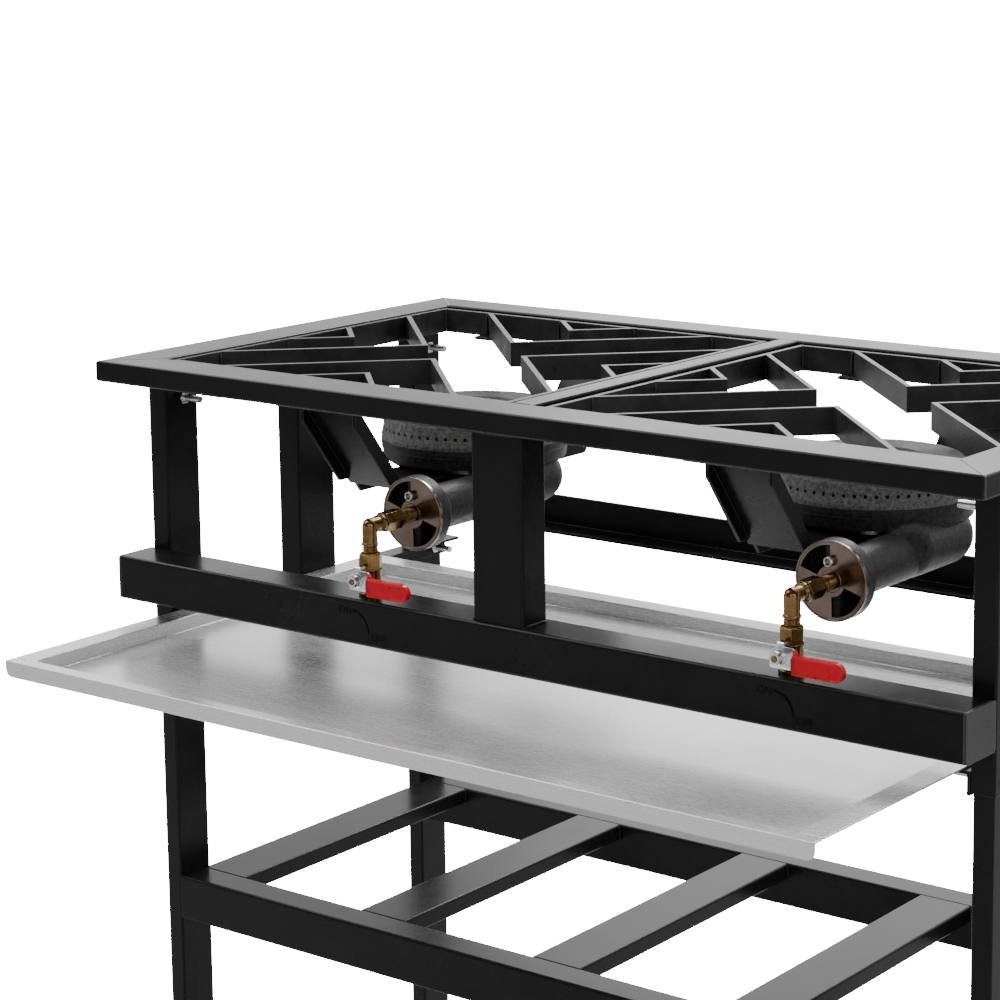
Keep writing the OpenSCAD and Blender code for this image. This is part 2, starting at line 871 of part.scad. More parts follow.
// Ring channel of a burner, and the mixing tube and throat that feed it
module burner_body(xc) {
    tube_l = throat_front_y - flange_y;
    floor_z = ring_foot_z + cast_wall;
    color(cast_colour)
        translate([xc, 0, 0])
            difference() {
                union() {
                    translate([0, 0, ring_foot_z])
                        rotate_extrude($fn = curve_fn)
                            polygon([
                                [ring_hole_r, 0],
                                [ring_r - 2 * cast_wall, 0],
                                [ring_r - cast_wall / 2, cast_wall],
                                [ring_r, ring_h - cast_wall],
                                [ring_r, ring_h],
                                [ring_hole_r, ring_h]
                            ]);
                    translate([tube_offset, flange_y, train_z])
                        rotate([-90, 0, 0]) {
                            cylinder(r = mix_r, h = tube_l, $fn = curve_fn);
                            cylinder(r = flange_r, h = flange_t, $fn = curve_fn);
                            translate([0, 0, flange_t])
                                cylinder(r1 = flange_r, r2 = mix_r, h = mouth_depth - flange_t, $fn = curve_fn);
                        }
                    burner_throat(throat_r);
                }
                burner_throat(throat_r - cast_wall);
                translate([0, 0, floor_z])
                    rotate_extrude($fn = curve_fn)
                        polygon([
                            [ring_hole_r + cast_wall, 0],
                            [ring_r - 2 * cast_wall, 0],
                            [ring_r - cast_wall, cast_wall],
                            [ring_r - cast_wall, ring_h],
                            [ring_hole_r + cast_wall, ring_h]
                        ]);
                translate([tube_offset, flange_y, train_z])
                    rotate([-90, 0, 0]) {
                        translate([0, 0, -over])
                            cylinder(r = mix_bore_r, h = tube_l + over, $fn = curve_fn);
                        translate([0, 0, -over])
                            cylinder(r = mouth_r, h = flange_t + over, $fn = curve_fn);
                        translate([0, 0, flange_t])
                            cylinder(r1 = mouth_r, r2 = mix_bore_r, h = mouth_depth - flange_t, $fn = curve_fn);
                    }
                burner_bolt_holes();
            }
    color(cast_colour)
        translate([xc, 0, 0])
            difference() {
                union() {
                    for (sy = [-1, 1])
                        translate([0, sy * burner_bolt_radius, floor_z])
                            cylinder(r = boss_r, h = boss_h, $fn = curve_fn);
                    translate([tube_offset, flange_y, train_z])
                        rotate([-90, 0, 0]) {
                            cylinder(r = hub_boss_r, h = hub_boss_l, $fn = curve_fn);
                            translate([-bridge_w / 2, -mouth_r - over, 0])
                                cube([bridge_w, 2 * (mouth_r + over), bridge_t]);
                        }
                }
                burner_bolt_holes();
                translate([tube_offset, flange_y, train_z])
                    rotate([-90, 0, 0])
                        translate([0, 0, -over])
                            cylinder(r = injector_r + run_gap, h = hub_boss_l + 2 * over, $fn = curve_fn);
            }
}

// Threaded holes in a burner's floor for the bolts from its cradle
module burner_bolt_holes() {
    for (sy = [-1, 1])
        translate([0, sy * burner_bolt_radius, ring_foot_z - over])
            cylinder(r = bolt_r + run_gap, h = burner_bolt_end + 2 * over, $fn = small_fn);
}

// Cap with a row of flame ports, centred on the ring by a lip inside
module burner_cap(xc) {
    step = 360 / port_count;
    color(cap_colour)
        translate([xc, 0, cap_foot_z])
            difference() {
                rotate_extrude($fn = curve_fn)
                    polygon([
                        [ring_hole_r, 0],
                        [ring_hole_r, cap_h - cap_lip],
                        [ring_hole_r + cap_lip, cap_h],
                        [ring_r - cap_edge, cap_h],
                        [ring_r - cap_lip, cap_h - cap_edge + cap_lip],
                        [ring_r - cap_lip / 2, cap_h - port_drop],
                        [ring_r, cap_lip_h],
                        [ring_r, 0],
                        [ring_r - cap_wall - cap_lip, 0],
                        [ring_r - cap_wall - cap_lip, cap_h - cap_edge],
                        [ring_r - cap_edge - cap_lip, cap_h - cap_top_t],
                        [ring_hole_r + cap_wall, cap_h - cap_top_t],
                        [ring_hole_r + cap_wall, 0]
                    ]);
                for (i = [0 : port_count - 1])
                    rotate([0, 0, (i + 1 / 2) * step])
                        translate([ring_r - cap_edge - cap_lip, 0, cap_h - port_drop])
                            rotate([0, 90, 0])
                                cylinder(r = port_r, h = 2 * cap_edge, $fn = small_fn);
            }
}

// Points of a wedge from the middle, reaching past the windows
function wedge(start, span, r) = concat(
    [[0, 0]],
    [for (i = [0 : 4]) let (a = start + span * i / 4) [r * cos(a), r * sin(a)]]
);

// Round plate with two opposite windows that open the air inlet
module air_shutter(xc) {
    color(bronze_colour)
        translate([xc + tube_offset, shutter_y + shutter_t / 2, train_z])
            along_y(shutter_t)
                difference() {
                    circle(r = flange_r, $fn = curve_fn);
                    for (turn = [0, 180])
                        intersection() {
                            difference() {
                                circle(r = window_out_r, $fn = curve_fn);
                                circle(r = window_in_r, $fn = curve_fn);
                            }
                            polygon(wedge(window_start + turn, window_span, 2 * window_out_r));
                        }
                    circle(r = injector_r + run_gap, $fn = curve_fn);
                    translate([0, screw_radius])
                        circle(r = screw_r, $fn = small_fn);
                }
}

// Screw that locks a shutter, its tip just clear of the casting
module shutter_screw(xc) {
    color(bronze_colour)
        translate([xc + tube_offset, shutter_y, train_z + screw_radius])
            rotate([-90, 0, 0]) {
                translate([0, 0, -screw_head_h])
                    cylinder(r = screw_head_r, h = screw_head_h, $fn = small_fn);
                cylinder(r = screw_r, h = shutter_t, $fn = small_fn);
            }
}

// Moves a valve's pieces from the stem's axis on the valve's centre line
module at_stem(xc) {
    translate([xc + tube_offset, valve_y, stem_z])
        children();
}

// Cylinder drawn out towards the front from Y at start
module to_front(r, start, l, fn = 48) {
    translate([0, -start, 0])
        rotate([90, 0, 0])
            cylinder(r = r, h = l, $fn = fn);
}

module valve_body(xc) {
    top = valve_h + valve_hex_h - stem_rise;
    color(brass_colour)
        at_stem(xc)
            difference() {
                union() {
                    translate([0, 0, -stem_rise])
                        cylinder(r = valve_r, h = valve_h, $fn = curve_fn);
                    translate([0, 0, -stem_rise - foot_l])
                        cylinder(r = foot_r, h = foot_l, $fn = curve_fn);
                    translate([0, 0, valve_h - stem_rise])
                        hexagon(valve_hex, valve_hex_h);
                    to_front(stem_boss_r, 0, stem_boss_l);
                }
                translate([0, 0, -stem_rise - foot_l - over])
                    cylinder(r = gas_way_r, h = stem_rise + foot_l, $fn = curve_fn);
                translate([0, 0, -ball_r - seat_t / 2])
                    cylinder(r = cavity_r, h = top + ball_r + seat_t / 2 - nipple_in, $fn = curve_fn);
                translate([0, 0, top - nipple_in])
                    cylinder(r = nipple_r, h = nipple_in + over, $fn = curve_fn);
                to_front(stem_r + run_gap, 0, stem_boss_l + over);
            }
}

// Ball with its gas way, and a slot that the stem turns
module valve_ball(xc) {
    color(zinc_colour)
        at_stem(xc)
            difference() {
                rotate([0, 90, 0])
                    rotate_extrude($fn = curve_fn)
                        difference() {
                            circle(r = ball_r, $fn = curve_fn);
                            translate([gas_way_r - 2 * ball_r, -ball_r])
                                square(2 * ball_r);
                        }
                translate([0, -ball_r, 0])
                    cube([tang_w + 2 * run_gap, 2 * (tang_in + run_gap), tang_t + 2 * run_gap], center = true);
            }
}

module valve_stem(xc) {
    stem_l = valve_y - hub_y + lever_t + lever_nut_h + stem_end - ball_r;
    color(brass_colour)
        at_stem(xc) {
            to_front(stem_r, ball_r, stem_l);
            translate([0, -ball_r, 0])
                cube([tang_w, 2 * tang_in, tang_t], center = true);
        }
}

module valve_seats() {
    color(seal_colour)
        for (xc = [-burner_x, burner_x], s = [-1, 1])
            at_stem(xc)
                difference() {
                    translate([0, 0, s * ball_r])
                        cylinder(r = cavity_r, h = seat_t, center = true, $fn = curve_fn);
                    cylinder(r = gas_way_r, h = 4 * ball_r, center = true, $fn = curve_fn);
                    sphere(r = ball_r + run_gap, $fn = curve_fn);
                }
}

// Packing nut round the stem, at the end of the valve's boss
module gland_nuts() {
    color(brass_colour)
        for (xc = [-burner_x, burner_x])
            at_stem(xc)
                translate([0, -stem_boss_l, 0])
                    rotate([90, 0, 0])
                        difference() {
                            hexagon(gland_hex, gland_l);
                            translate([0, 0, -over])
                                cylinder(r = gland_bore, h = gland_l + 2 * over, $fn = curve_fn);
                        }
}

// Plan of a lever's blade between two X places, from the stem's axis
module lever_blade(x0, x1, h, drop) {
    translate([x0, -h / 2 - drop])
        square([x1 - x0, h]);
}

// Pressed lever: a hub plate, a step forward and a blade inside the grip
module valve_lever(xc) {
    plate_y = hub_y - valve_y - lever_t / 2;
    blade_y = plate_y - joggle;
    color(zinc_colour)
        at_stem(xc)
            difference() {
                union() {
                    translate([0, plate_y, 0])
                        along_y(lever_t)
                            difference() {
                                translate([stem_boss_r / 2, 0])
                                    rounded_rect(hub_w + stem_boss_r, hub_h, lever_t);
                                translate([grip_start - lever_t, -hub_h])
                                    square([hub_w, 2 * hub_h]);
                            }
                    translate([grip_start - lever_t, blade_y - lever_t / 2, -grip_drop - arm_h / 2])
                        cube([lever_t, joggle + lever_t, arm_h]);
                    translate([0, blade_y, 0])
                        along_y(lever_t)
                            lever_blade(grip_start - lever_t, grip_reach - arm_end_gap, arm_h, grip_drop);
                }
                translate([0, plate_y, 0])
                    rotate([90, 0, 0])
                        cylinder(r = stem_r, h = 2 * lever_t, center = true, $fn = curve_fn);
            }
}

// Vinyl sleeve with a round end that covers a lever's blade
module lever_grip(xc) {
    blade_y = hub_y - valve_y - lever_t / 2 - joggle;
    round_r = grip_h / 2;
    color(grip_colour)
        at_stem(xc)
            difference() {
                translate([0, blade_y, 0])
                    along_y(grip_t) {
                        lever_blade(grip_start, grip_reach - round_r, grip_h, grip_drop);
                        translate([grip_reach - round_r, -grip_drop])
                            circle(r = round_r, $fn = curve_fn);
                    }
                translate([0, blade_y, 0])
                    along_y(lever_t)
                        lever_blade(grip_start - over, grip_reach - arm_end_gap, arm_h, grip_drop);
                translate([grip_start - over, blade_y, -grip_drop - arm_h / 2])
                    cube([over, joggle, arm_h]);
            }
}

module lever_nut(xc) {
    color(zinc_colour)
        at_stem(xc)
            translate([0, hub_y - valve_y - lever_t, 0])
                rotate([90, 0, 0])
                    difference() {
                        hexagon(lever_nut_hex, lever_nut_h);
                        translate([0, 0, -over])
                            cylinder(r = stem_r, h = lever_nut_h + 2 * over, $fn = curve_fn);
                    }
}

// Elbow from the valve's top to the injector, with its male thread below
module gas_elbows() {
    thread_foot = rail_top_z + valve_h + valve_hex_h - nipple_in;
    thread_top = rail_top_z + valve_h + valve_hex_h + nipple_l;
    color(brass_colour)
        for (xc = [-burner_x, burner_x])
            translate([xc + tube_offset, valve_y, 0])
                difference() {
                    union() {
                        translate([0, 0, thread_foot])
                            cylinder(r = nipple_r - run_gap, h = thread_top - thread_foot, $fn = curve_fn);
                        translate([0, 0, thread_top])
                            cylinder(r = elbow_collar_r, h = elbow_collar_l, $fn = curve_fn);
                        translate([0, 0, thread_top])
                            cylinder(r = elbow_r, h = train_z - thread_top, $fn = curve_fn);
                        translate([0, 0, train_z])
                            sphere(r = elbow_r, $fn = curve_fn);
                        translate([0, 0, train_z])
                            rotate([-90, 0, 0])
                                cylinder(r = elbow_r, h = elbow_arm, $fn = curve_fn);
                        translate([0, elbow_arm, train_z])
                            rotate([-90, 0, 0])
                                cylinder(r = ring_collar_r, h = ring_collar_l, $fn = curve_fn);
                    }
                    translate([0, 0, thread_foot - over])
                        cylinder(r = gas_way_r, h = train_z - thread_foot + over, $fn = curve_fn);
                    translate([0, 0, train_z])
                        rotate([-90, 0, 0])
                            cylinder(r = gas_way_r, h = elbow_arm + ring_collar_l + over, $fn = curve_fn);
                }
}

module injector_couplings() {
    color(brass_colour)
        for (xc = [-burner_x, burner_x])
            translate([xc + tube_offset, coupling_y, train_z])
                rotate([-90, 0, 0])
                    difference() {
                        hexagon(coupling_hex, coupling_l);
                        translate([0, 0, -over])
                            cylinder(r = gas_way_r, h = coupling_l + 2 * over, $fn = curve_fn);
                        translate([0, 0, coupling_l - injector_in])
                            cylinder(r = injector_r + run_gap, h = injector_in + over, $fn = curve_fn);
                    }
}

// Injector: a barrel that carries the shutter, and a tip with the gas jet
module injectors() {
    barrel_l = flange_y + hub_boss_l - injector_y;
    color(brass_colour)
        for (xc = [-burner_x, burner_x])
            translate([xc + tube_offset, injector_y, train_z])
                rotate([-90, 0, 0])
                    difference() {
                        union() {
                            cylinder(r = injector_r, h = barrel_l, $fn = curve_fn);
                            translate([0, 0, barrel_l])
                                cylinder(r1 = injector_nose_r, r2 = injector_tip_r, h = injector_tip_l,
                                    $fn = curve_fn);
                        }
                        translate([0, 0, -over])
                            cylinder(r = gas_way_r, h = barrel_l + over, $fn = curve_fn);
                        cylinder(r = jet_r, h = barrel_l + injector_tip_l + over, $fn = small_fn);
                    }
}

rim_front_tube();
rim_back_tube();
rim_left_tube();
rim_right_tube();
rim_cross_bar();
leg_sleeve(-1, 1);  // front_left_leg_sleeve
leg_sleeve(1, 1);  // front_right_leg_sleeve
leg_sleeve(-1, -1);  // back_left_leg_sleeve
leg_sleeve(1, -1);  // back_right_leg_sleeve
side_hangers();
front_centre_post();
gas_manifold_tube();
manifold_end_plates();
gas_inlet_socket();
tray_runner(-1);  // left_tray_runner
tray_runner(1);  // right_tray_runner
back_angle_rail();
trivet_rest_tabs();
burner_cradle(-burner_x);  // left_burner_cradle
burner_cradle(burner_x);  // right_burner_cradle
burner_bolts();
leg_bolts();
leg_nuts();
lower_leg(-1, 1);  // front_left_leg
lower_leg(1, 1);  // front_right_leg
lower_leg(-1, -1);  // back_left_leg
lower_leg(1, -1);  // back_right_leg
shelf_rail(1);  // shelf_front_rail
shelf_rail(-1);  // shelf_back_rail
shelf_slats();
leg_feet();
drip_tray();
trivet(-trivet_x);  // left_trivet
trivet(trivet_x);  // right_trivet
burner_body(-burner_x);  // left_burner_body
burner_body(burner_x);  // right_burner_body
burner_cap(-burner_x);  // left_burner_cap
burner_cap(burner_x);  // right_burner_cap
air_shutter(-burner_x);  // left_air_shutter
air_shutter(burner_x);  // right_air_shutter
shutter_screw(-burner_x);  // left_shutter_screw
shutter_screw(burner_x);  // right_shutter_screw
valve_body(-burner_x);  // left_valve_body
valve_body(burner_x);  // right_valve_body
valve_ball(-burner_x);  // left_valve_ball
valve_ball(burner_x);  // right_valve_ball
valve_stem(-burner_x);  // left_valve_stem
valve_stem(burner_x);  // right_valve_stem
valve_lever(-burner_x);  // left_valve_lever
valve_lever(burner_x);  // right_valve_lever
lever_grip(-burner_x);  // left_lever_grip
lever_grip(burner_x);  // right_lever_grip
lever_nut(-burner_x);  // left_lever_nut
lever_nut(burner_x);  // right_lever_nut
gland_nuts();
valve_seats();
gas_elbows();
injector_couplings();
injectors();
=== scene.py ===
"""Looks of the gas boiling table: finishes, welds, gas fittings, rail marks, floor, light and camera."""

import math
import random

import bmesh
import bpy
from mathutils import Matrix, Vector


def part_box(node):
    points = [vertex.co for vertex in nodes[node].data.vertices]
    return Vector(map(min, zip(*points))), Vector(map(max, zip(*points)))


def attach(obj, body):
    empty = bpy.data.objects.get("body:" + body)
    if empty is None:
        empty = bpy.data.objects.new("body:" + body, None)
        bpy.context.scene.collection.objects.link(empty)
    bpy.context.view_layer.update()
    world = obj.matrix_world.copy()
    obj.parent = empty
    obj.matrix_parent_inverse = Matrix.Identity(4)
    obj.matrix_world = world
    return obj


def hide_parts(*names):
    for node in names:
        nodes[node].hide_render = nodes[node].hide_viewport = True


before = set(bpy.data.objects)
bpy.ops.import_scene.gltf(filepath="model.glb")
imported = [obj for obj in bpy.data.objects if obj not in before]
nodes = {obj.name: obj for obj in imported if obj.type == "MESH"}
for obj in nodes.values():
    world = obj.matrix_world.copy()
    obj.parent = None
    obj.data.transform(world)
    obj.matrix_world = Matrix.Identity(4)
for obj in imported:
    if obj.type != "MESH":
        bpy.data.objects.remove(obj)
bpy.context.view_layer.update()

MM = 0.001
SIDES = ("left", "right")
UP, DOWN = (0, 0, 1), (0, 0, -1)
FRONT, BACK = (0, -1, 0), (0, 1, 0)
LEFT, RIGHT = (-1, 0, 0), (1, 0, 0)


# Shader node helpers

FLOAT, VECTOR = "NodeSocketFloat", "NodeSocketVector"
# Numbers of a Mix node's two values and of its output
MIX_SOCKETS = {"FLOAT": (2, 3, 0), "RGBA": (6, 7, 2)}


def add_node(tree, kind, **settings):
    """Adds a node; a setting named after a socket fills that socket, any other is an attribute."""
    made = tree.nodes.new(kind)
    for key, value in settings.items():
        socket = made.inputs.get(key.replace("_", " "))
        if socket is None:
            setattr(made, key, value)
        else:
            socket.default_value = value
    return made


def feed(tree, value, socket):
    """Gives a socket its value, which is another node's output or a constant."""
    if isinstance(value, bpy.types.NodeSocket):
        tree.links.new(value, socket)
    else:
        socket.default_value = value


def calc(tree, operation, *values, clamp=False):
    """Result of a maths operation on outputs or plain numbers."""
    made = add_node(tree, "ShaderNodeMath", operation=operation, use_clamp=clamp)
    for value, socket in zip(values, made.inputs):
        feed(tree, value, socket)
    return made.outputs[0]


def mix(tree, kind, share, first, second):
    """Mix of two numbers or of two colours, each an output or a constant."""
    made = add_node(tree, "ShaderNodeMix", data_type=kind)
    first_socket, second_socket, output = MIX_SOCKETS[kind]
    for value, number in ((share, 0), (first, first_socket), (second, second_socket)):
        feed(tree, (*value, 1.0) if isinstance(value, tuple) else value, made.inputs[number])
    return made.outputs[output]


def remap(tree, value, start=0.0, end=1.0, low=0.0, high=1.0, smooth=False):
    """Value between start and end, moved to between low and high."""
    made = add_node(tree, "ShaderNodeMapRange", From_Min=start, From_Max=end, To_Min=low)
    made.interpolation_type = "SMOOTHSTEP" if smooth else "LINEAR"
    feed(tree, high, made.inputs["To Max"])
    feed(tree, value, made.inputs["Value"])
    return made.outputs["Result"]


def noise(tree, place, scale, detail, roughness=0.5):
    """Noise at a place, with its scale as an output or a number."""
    made = add_node(tree, "ShaderNodeTexNoise", Detail=detail, Roughness=roughness)
    tree.links.new(place, made.inputs["Vector"])
    feed(tree, scale, made.inputs["Scale"])
    return made.outputs["Fac"]


def dot(tree, first, second):
    """How far two directions agree, each an output or a constant."""
    made = add_node(tree, "ShaderNodeVectorMath", operation="DOT_PRODUCT")
    feed(tree, first, made.inputs[0])
    feed(tree, second, made.inputs[1])
    return made.outputs["Value"]


def coordinates(tree, kind):
    """Texture place on the surface or in the sky."""
    return add_node(tree, "ShaderNodeTexCoord").outputs[kind]


def parts_of(tree, vector):
    """X, Y and Z of a vector."""
    made = add_node(tree, "ShaderNodeSeparateXYZ")
    tree.links.new(vector, made.inputs["Vector"])
    return made.outputs


def begin_group(name, inputs, outputs):
    """Starts a shader node group with named float or vector sockets."""
    tree = bpy.data.node_groups.new(name, "ShaderNodeTree")
    for label, kind, value in inputs:
        tree.interface.new_socket(label, in_out="INPUT", socket_type=kind).default_value = value
    for label, kind in outputs:
        tree.interface.new_socket(label, in_out="OUTPUT", socket_type=kind)
    return tree, tree.nodes.new("NodeGroupInput").outputs, tree.nodes.new("NodeGroupOutput").inputs


def place_group(tree, group, **values):
    """Puts a node group into a material with its settings; gives its outputs."""
    made = tree.nodes.new("ShaderNodeGroup")
    made.node_tree = group
    for key, value in values.items():
        made.inputs[key.replace("_", " ")].default_value = value
    return made.outputs


# Node groups


def build_grain_group():
    """Fine and coarse grain over a surface: a height for bumps and a mask for tones."""
    tree, given, put = begin_group(
        "surface_grain",
        [("Fine Scale", FLOAT, 900.0), ("Coarse Scale", FLOAT, 60.0), ("Fine Share", FLOAT, 0.7)],
        [("Height", FLOAT), ("Tone", FLOAT)],
    )
    place = coordinates(tree, "Object")
    fine = noise(tree, place, given["Fine Scale"], 3.0, 0.6)
    coarse = noise(tree, place, given["Coarse Scale"], 4.0, 0.55)
    feed(tree, mix(tree, "FLOAT", given["Fine Share"], coarse, fine), put["Height"])
    feed(tree, remap(tree, coarse, 0.3, 0.7), put["Tone"])
    return tree


def build_brush_group():
    """Streaks left by brushing, drawn out along one direction."""
    tree, given, put = begin_group(
        "brush_streaks", [("Stretch", VECTOR, (1.0, 1.0, 1.0))], [("Height", FLOAT), ("Tone", FLOAT)]
    )
    squeeze = add_node(tree, "ShaderNodeVectorMath", operation="MULTIPLY")
    feed(tree, coordinates(tree, "Object"), squeeze.inputs[0])
    feed(tree, given["Stretch"], squeeze.inputs[1])
    streaks = noise(tree, squeeze.outputs["Vector"], 1.0, 4.0, 0.7)
    feed(tree, streaks, put["Height"])
    feed(tree, remap(tree, streaks, 0.35, 0.65), put["Tone"])
    return tree


def build_edge_group():
    """Softens hard edges, and gives a mask that is one along them."""
    tree, given, put = begin_group(
        "edge_highlight_and_wear",
        [("Width", FLOAT, 0.0006), ("Gain", FLOAT, 3.0)],
        [("Normal", VECTOR), ("Edge", FLOAT)],
    )
    round_off = add_node(tree, "ShaderNodeBevel", samples=4)
    feed(tree, given["Width"], round_off.inputs["Radius"])
    rounded = round_off.outputs["Normal"]
    flat = add_node(tree, "ShaderNodeNewGeometry").outputs["Normal"]
    turned = calc(tree, "SUBTRACT", 1.0, dot(tree, rounded, flat))
    feed(tree, rounded, put["Normal"])
    feed(tree, calc(tree, "MULTIPLY", turned, given["Gain"], clamp=True), put["Edge"])
    return tree


def build_mitre_group():
    """Low, uneven ridge that a ground-down weld leaves along the top frame's mitres."""
    tree, given, put = begin_group("mitre_seams", [("Width", FLOAT, 0.0022)], [("Height", FLOAT)])
    rim_low, rim_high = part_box("rim_front_tube")
    half_w, half_d, bar = rim_high.x, -rim_low.y, rim_high.y - rim_low.y
    place = coordinates(tree, "Object")
    x, y, z = parts_of(tree, place)
    in_x = calc(tree, "SUBTRACT", half_w, calc(tree, "ABSOLUTE", x))
    in_y = calc(tree, "SUBTRACT", half_d, calc(tree, "ABSOLUTE", y))
    off = calc(tree, "ABSOLUTE", calc(tree, "SUBTRACT", in_x, in_y))
    near = calc(tree, "SUBTRACT", 1.0, calc(tree, "DIVIDE", off, given["Width"]), clamp=True)
    inside = calc(tree, "LESS_THAN", in_x, bar)
    high_up = calc(tree, "GREATER_THAN", z, rim_low.z)
    ridge = calc(tree, "MULTIPLY", calc(tree, "MULTIPLY", near, inside), high_up)
    uneven = calc(tree, "ADD", noise(tree, place, 260.0, 2.0), 0.35)
    feed(tree, calc(tree, "MULTIPLY", ridge, uneven), put["Height"])
    return tree


def build_upward_tone_group():
    """Mask of the faces that look up, which a finish can make darker and less metallic."""
    tree, given, put = begin_group("upward_face_darkening", [("Most", FLOAT, 0.93)], [("Cover", FLOAT)])
    true_normal = add_node(tree, "ShaderNodeNewGeometry").outputs["True Normal"]
    upward = parts_of(tree, true_normal)["Z"]
    feed(tree, remap(tree, upward, 0.45, 0.85, high=given["Most"], smooth=True), put["Cover"])
    return tree


upward_tone_group = build_upward_tone_group()
mitre_group = build_mitre_group()
grain_group = build_grain_group()
brush_group = build_brush_group()
edge_group = build_edge_group()


# Finishes


def finish_material(
    name,
    dark,
    light,
    rough=(0.3, 0.4),
    metal=0.0,
    grain=(900.0, 60.0, 0.7),
    bump=0.1,
    depth=0.0002,
    stretch=None,
    specular=0.5,
    edge=None,
    edge_width=0.0006,
    edge_gain=3.0,
    seams=False,
    upward_tone=None,
):
    """Finish whose tone and roughness wander between two ends, with a bump and lighter edges that are a
    painted edge highlight, in part also wear.
    """
    made = bpy.data.materials.new(name)
    made.use_nodes = True
    tree = made.node_tree
    shader = tree.nodes["Principled BSDF"]
    shader.inputs["Metallic"].default_value = metal
    shader.inputs["Specular IOR Level"].default_value = specular
    if stretch is None:
        fine, coarse, share = grain
        source = place_group(tree, grain_group, Fine_Scale=fine, Coarse_Scale=coarse, Fine_Share=share)
    else:
        source = place_group(tree, brush_group, Stretch=stretch)
    rim = place_group(tree, edge_group, Width=edge_width, Gain=edge_gain)
    tone = mix(tree, "RGBA", source["Tone"], dark, light)
    # Along the edges the tone goes lighter: a painted edge highlight, on the coats in part also wear.
    colour = mix(tree, "RGBA", rim["Edge"], tone, edge or light)
    # Faces that look up get a darker, less metallic tone.
    if upward_tone:
        cover = place_group(tree, upward_tone_group)["Cover"]
        colour = mix(tree, "RGBA", cover, colour, upward_tone)
        feed(tree, remap(tree, cover, low=metal, high=0.0), shader.inputs["Metallic"])
    feed(tree, colour, shader.inputs["Base Color"])
    feed(tree, remap(tree, source["Tone"], low=rough[0], high=rough[1]), shader.inputs["Roughness"])
    relief = add_node(tree, "ShaderNodeBump", Strength=bump, Distance=depth)
    feed(tree, source["Height"], relief.inputs["Height"])
    feed(tree, rim["Normal"], relief.inputs["Normal"])
    if seams:
        ridge = add_node(tree, "ShaderNodeBump", Strength=0.9, Distance=0.0009)
        feed(tree, place_group(tree, mitre_group)["Height"], ridge.inputs["Height"])
        feed(tree, relief.outputs["Normal"], ridge.inputs["Normal"])
        relief = ridge
    feed(tree, relief.outputs["Normal"], shader.inputs["Normal"])
    return made


# Each finish's edge colour is a painted highlight along its edges; on the black coats it stands in part for
# wear too.
powder_coat = finish_material(
    "black_powder_coat", (0.0066, 0.0066, 0.0069), (0.0112, 0.0112, 0.0116),
    rough=(0.20, 0.29), bump=0.10, depth=0.0002, grain=(1100.0, 12.0, 0.85), specular=0.15,
    edge=(0.11, 0.11, 0.115), edge_width=0.0009, seams=True,
)
worn_coat = finish_material(
    "worn_support_coat", (0.017, 0.017, 0.0175), (0.038, 0.038, 0.039),
    rough=(0.25, 0.38), bump=0.14, depth=0.0002, grain=(700.0, 34.0, 0.75), specular=0.24,
    edge=(0.17, 0.17, 0.17), edge_width=0.0009,
)
brushed_tray = finish_material(
    "brushed_tray_steel", (0.76, 0.765, 0.77), (0.84, 0.845, 0.85),
    rough=(0.24, 0.29), metal=0.70, bump=0.02, depth=0.00005, stretch=(30.0, 1100.0, 1100.0),
    edge=(0.97, 0.97, 0.98), edge_width=0.0017, edge_gain=4.0,
)
raw_casting = finish_material(
    "black_casting", (0.010, 0.010, 0.0105), (0.040, 0.040, 0.041),
    rough=(0.28, 0.48), bump=0.8, depth=0.0010, grain=(620.0, 260.0, 0.6), specular=0.2,
    edge=(0.05, 0.05, 0.05), edge_width=0.0005,
)
# The cap's faces that look up are darker and less metallic than its sides.
cap_casting = finish_material(
    "bare_casting", (0.07, 0.07, 0.07), (0.24, 0.237, 0.23),
    rough=(0.34, 0.50), metal=0.45, bump=1.0, depth=0.0014, grain=(900.0, 420.0, 0.6), specular=0.15,
    edge=(0.36, 0.35, 0.34), edge_width=0.0006, upward_tone=(0.024, 0.024, 0.024),
)
turned_brass = finish_material(
    "turned_brass", (0.145, 0.082, 0.027), (0.31, 0.195, 0.076),
    rough=(0.14, 0.24), metal=1.0, bump=0.06, depth=0.0001, grain=(700.0, 90.0, 0.5),
    edge=(0.82, 0.60, 0.26), edge_width=0.0005,
)
bronze_plate = finish_material(
    "polished_bronze", (0.17, 0.125, 0.10), (0.27, 0.21, 0.17),
    rough=(0.13, 0.22), metal=1.0, bump=0.04, depth=0.0001, grain=(500.0, 50.0, 0.5),
    edge=(0.60, 0.52, 0.46), edge_width=0.0006,
)
zinc_plate = finish_material(
    "zinc_plate", (0.62, 0.63, 0.65), (0.86, 0.87, 0.89),
    rough=(0.13, 0.24), metal=1.0, bump=0.07, depth=0.0002, grain=(500.0, 120.0, 0.5),
    edge=(0.96, 0.96, 0.96), edge_width=0.0005,
)
red_vinyl = finish_material(
    "red_vinyl", (0.62, 0.0, 0.012), (0.72, 0.001, 0.017),
    rough=(0.26, 0.33), bump=0.03, depth=0.0001, grain=(400.0, 60.0, 0.3), specular=0.24,
    edge=(0.85, 0.07, 0.09), edge_width=0.0009,
)
foot_plastic = finish_material(
    "foot_plastic", (0.010, 0.010, 0.010), (0.020, 0.020, 0.020),
    rough=(0.5, 0.6), bump=0.1, grain=(1500.0, 80.0, 0.7), edge=(0.05, 0.05, 0.05),
)
seal_plastic = finish_material(
    "seal_plastic", (0.78, 0.78, 0.76), (0.85, 0.85, 0.83), rough=(0.4, 0.5), bump=0.02,
)
mark_ink = finish_material(
    "rail_mark_ink", (0.0004, 0.0004, 0.0004), (0.0008, 0.0008, 0.0008),
    rough=(0.5, 0.6), bump=0.02, specular=0.05, edge=(0.0008, 0.0008, 0.0008),
)

